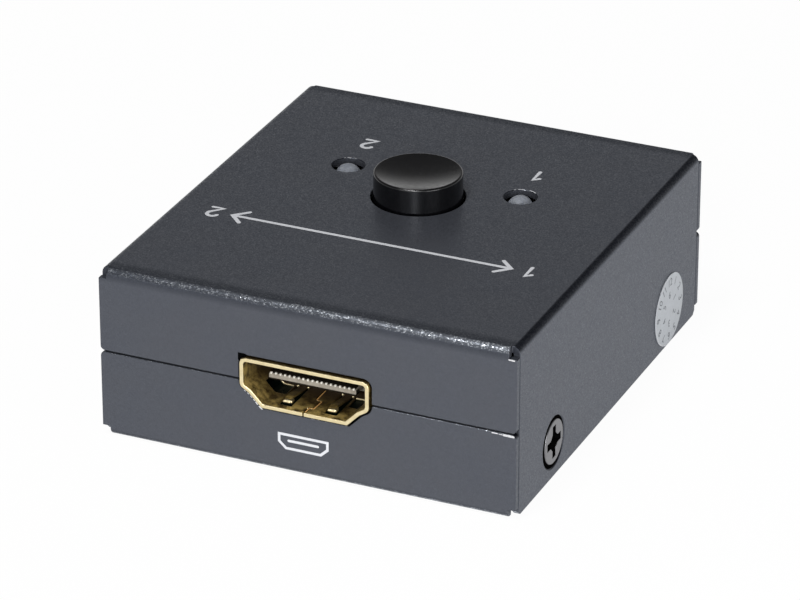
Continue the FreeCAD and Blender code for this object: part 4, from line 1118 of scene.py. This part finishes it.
def joint_line(port, place):
    """The dovetailed joint in the shell's floor: a dark gap beside its sheared edge, drawn in the
    metal's orange brightened as a painted highlight.
    """
    points = [(x * MM, y * MM) for x, y in JOINT_LINE]
    shift = JOINT_EDGE_SHIFT * JOINT_GAP
    beside = [(x + shift, y - shift) for x, y in points]
    # The gap in dark ink, and beside it the edge as painted highlight
    for name, line, lift, material in (("_joint_gap", points, JOINT_GAP_LIFT, "seam_dark"),
                                       ("_joint_edge", beside, JOINT_EDGE_LIFT, "seam_bright")):
        level = place @ Matrix.Translation((0, 0, lift - FLOOR_DROP))
        add_print(port + name, [(band(line, JOINT_GAP), level)], material, "gold_shell")


# Painted glints in bright steel along cut edges on the front face: start and end as (x, z), width,
# in mm

GLINT_EDGES = (
    ((21.3, 9.84), (21.9, 9.84), 0.12), ((22.1, 9.82), (22.4, 9.82), 0.1),
    ((22.6, 9.81), (23.7, 9.8), 0.24), ((23.12, 18.62), (23.7, 18.6), 0.16),
    ((-7.05, 8.82), (-6.9, 8.74), 0.07), ((-6.65, 8.58), (-6.5, 8.47), 0.08),
    ((-6.3, 8.28), (-6.15, 8.12), 0.08), ((-5.95, 7.94), (-5.85, 7.82), 0.09),
    ((-5.7, 7.67), (-5.5, 7.45), 0.12), ((-5.3, 7.24), (-5.0, 7.0), 0.15),
)

# Painted glints in white ink round the lamps' holes: start and end as angles in degrees, inset and
# width in mm

GLINT_RIMS = {
    "led_1": ((102, 119, 0.0, 0.13), (66, 80, 0.02, 0.12), (128, 134, 0.0, 0.08),
              (54, 62, 0.0, 0.12)),
    "led_2": ((106, 116, 0.0, 0.11), (122, 128, 0.0, 0.07), (88, 93, 0.0, 0.07)),
}
GLINT_RIM_STEPS = 6
LAMP_HOLE_GAP = 0.42 * MM

# Painted shade: a dark band at the front port's upper corner, as (x, z) in mm

CORNER_GAP = ((-7.46, 12.4), (-7.46, 12.92), (-6.95, 12.92))
CORNER_GAP_WIDTH = 0.5 * MM


def chipped_edges():
    """Painted glints on the front face and round the lamps' holes, and painted shade at the front
    port's corner.
    """
    upright = Matrix.Rotation(math.pi / 2, 4, "X")
    place = Matrix.Translation((0, FRONT_FACE - PRINT_LIFT, 0)) @ upright
    # Painted glints along cut edges on the front face
    drawings = [(band([(x * MM, z * MM) for x, z in (start, end)], width * MM), place)
                for start, end, width in GLINT_EDGES]
    add_print("chipped_edges", drawings, "bare_steel")
    # Painted glints in white ink round the lamps' holes
    rims = []
    for node, rim_glints in GLINT_RIMS.items():
        low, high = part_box(node)
        middle = (low + high) / 2
        radius = high.x - middle.x + LAMP_HOLE_GAP
        level = Matrix.Translation((middle.x, middle.y, TOP + PRINT_LIFT))
        for start, end, inset, width in rim_glints:
            arc = arc_points((0, 0), radius + inset * MM, start, end, GLINT_RIM_STEPS)
            rims.append((band(arc, width * MM), level))
    add_print("chipped_rims", rims, "print_white")
    # Painted shade: a dark band over the front face at the front port's upper corner
    corner = band([(x * MM, z * MM) for x, z in CORNER_GAP], CORNER_GAP_WIDTH)
    add_print("corner_gap", [(corner, place)], "recess_black")


# Floor and surroundings; heights of the sky as the upward part of a direction

FLOOR_COLOUR = (0.9, 0.9, 0.9, 1)
FLOOR_SIZE = 3.0
FLOOR_LEVEL = -0.02 * MM
FLOOR_WHITE = 0.96
WORLD_LIGHT = 0.78
CEILING_SPAN = (0.03, 0.44)
CEILING_LIGHT = 0.15

# Soft lamps: name, direction from the box, distance, width and height, power

LIGHTS = (
    ("high_light", (-0.1, -0.34, 0.92), 1.1, (0.2, 0.5), 6.4),
    ("side_light", (0.85, -0.5, 0.15), 0.2, (0.12, 0.1), 0.17),
    ("front_light", (0.23, -0.87, 0.44), 1.1, (0.2, 0.3), 3.6),
    ("fill_light", (0.1, -0.95, 0.3), 1.1, (1.1, 0.6), 4.4),
)


def seen_directly(tree):
    """One for camera, glossy and transmission rays, else nought."""
    path = tree.nodes.new("ShaderNodeLightPath")
    total = path.outputs["Is Camera Ray"]
    for name in ("Is Glossy Ray", "Is Transmission Ray"):
        total = math_node(tree, "MAXIMUM", total, path.outputs[name])
    return total


def add_floor():
    """A plain pale floor that stays near white and keeps the shadow."""
    work = bmesh.new()
    half = FLOOR_SIZE / 2
    work.faces.new([work.verts.new((x * half, y * half, FLOOR_LEVEL))
                    for x, y in ((-1, -1), (1, -1), (1, 1), (-1, 1))])
    mesh = bpy.data.meshes.new("floor")
    work.to_mesh(mesh)
    work.free()
    floor = bpy.data.objects.new("floor", mesh)
    bpy.context.scene.collection.objects.link(floor)
    material = bpy.data.materials.new("floor")
    material.use_nodes = True
    tree = material.node_tree
    tree.nodes.clear()
    matte = tree.nodes.new("ShaderNodeBsdfDiffuse")
    matte.inputs["Color"].default_value = FLOOR_COLOUR
    white = tree.nodes.new("ShaderNodeEmission")
    white.inputs["Strength"].default_value = 1.0
    share = spread(tree, seen_directly(tree), (0.0, 1.0), 0.0, FLOOR_WHITE)
    mix = tree.nodes.new("ShaderNodeMixShader")
    tree.links.new(share, mix.inputs["Fac"])
    tree.links.new(matte.outputs["BSDF"], mix.inputs[1])
    tree.links.new(white.outputs["Emission"], mix.inputs[2])
    out = tree.nodes.new("ShaderNodeOutputMaterial")
    tree.links.new(mix.outputs["Shader"], out.inputs["Surface"])
    mesh.materials.append(material)


def add_world():
    """White where it is seen, dimmer towards the ceiling, and an even soft light elsewhere."""
    world = bpy.data.worlds.new("studio")
    bpy.context.scene.world = world
    world.use_nodes = True
    tree = world.node_tree
    background = tree.nodes["Background"]
    background.inputs["Color"].default_value = (1, 1, 1, 1)
    way = tree.nodes.new("ShaderNodeSeparateXYZ")
    coordinate = tree.nodes.new("ShaderNodeTexCoord").outputs["Generated"]
    tree.links.new(coordinate, way.inputs["Vector"])
    height = spread(tree, way.outputs["Z"], CEILING_SPAN, 1.0, CEILING_LIGHT)
    share = spread(tree, seen_directly(tree), (0.0, 1.0), WORLD_LIGHT, 1.0)
    tree.links.new(math_node(tree, "MULTIPLY", height, share), background.inputs["Strength"])


def add_light(name, way, distance, size, power):
    """A soft lamp that faces the box from a direction and isn't seen itself."""
    light = bpy.data.lights.new(name, "AREA")
    light.shape = "RECTANGLE"
    light.size, light.size_y = size
    light.energy = power
    holder = bpy.data.objects.new(name, light)
    bpy.context.scene.collection.objects.link(holder)
    back = Vector(way).normalized()
    holder.location = back * distance
    holder.visible_camera = False
    holder.rotation_euler = back.to_track_quat("Z", "Y").to_euler()


# Camera: where it stands round the box and what it looks at

CAMERA_AZIMUTH = math.radians(23.865)
CAMERA_ELEVATION = math.radians(26.348)
CAMERA_DISTANCE = 521.56 * MM
CAMERA_SHIFT_RIGHT = 0.84 * MM
CAMERA_SHIFT_UP = 1.154 * MM
CAMERA_TARGET = Vector((0, 0, 10 * MM))
CAMERA_LENS = 214.58
CAMERA_SENSOR = 36
CAMERA_NEAREST = 10 * MM


def add_camera():
    """The photograph's viewpoint: a plain long lens with no shift."""
    back = Vector((math.sin(CAMERA_AZIMUTH) * math.cos(CAMERA_ELEVATION),
                   -math.cos(CAMERA_AZIMUTH) * math.cos(CAMERA_ELEVATION),
                   math.sin(CAMERA_ELEVATION)))
    right = Vector((math.cos(CAMERA_AZIMUTH), math.sin(CAMERA_AZIMUTH), 0))
    up = back.cross(right)
    camera = bpy.data.objects.new("camera", bpy.data.cameras.new("camera"))
    bpy.context.scene.collection.objects.link(camera)
    camera.data.sensor_width = CAMERA_SENSOR
    camera.data.lens = CAMERA_LENS
    camera.data.clip_start = CAMERA_NEAREST
    place = Matrix((right, up, back)).transposed().to_4x4()
    place.translation = (CAMERA_TARGET + back * CAMERA_DISTANCE
                         - right * CAMERA_SHIFT_RIGHT - up * CAMERA_SHIFT_UP)
    camera.matrix_world = place
    bpy.context.scene.camera = camera


dress_frame()
softened("top_cover", EDGE_BREAK, lamp_holes=True)
softened("bottom_tray", EDGE_BREAK)
for port, place in port_places():
    softened(port + "_shell", PLATE_BREAK)
    softened(port + "_insulator", PLASTIC_BREAK)
    tongue_lip(port, place)
    finger_tips(port, place)
    joint_line(port, place)
softened("warranty_seal", SEAL_BREAK)
chipped_edges()
cover_screws()
push_button()
return_spring()
lamps()
top_print()
port_print()
seal_print()
add_floor()
add_world()
for light in LIGHTS:
    add_light(*light)
add_camera()
bpy.context.scene.view_settings.view_transform = "Standard"
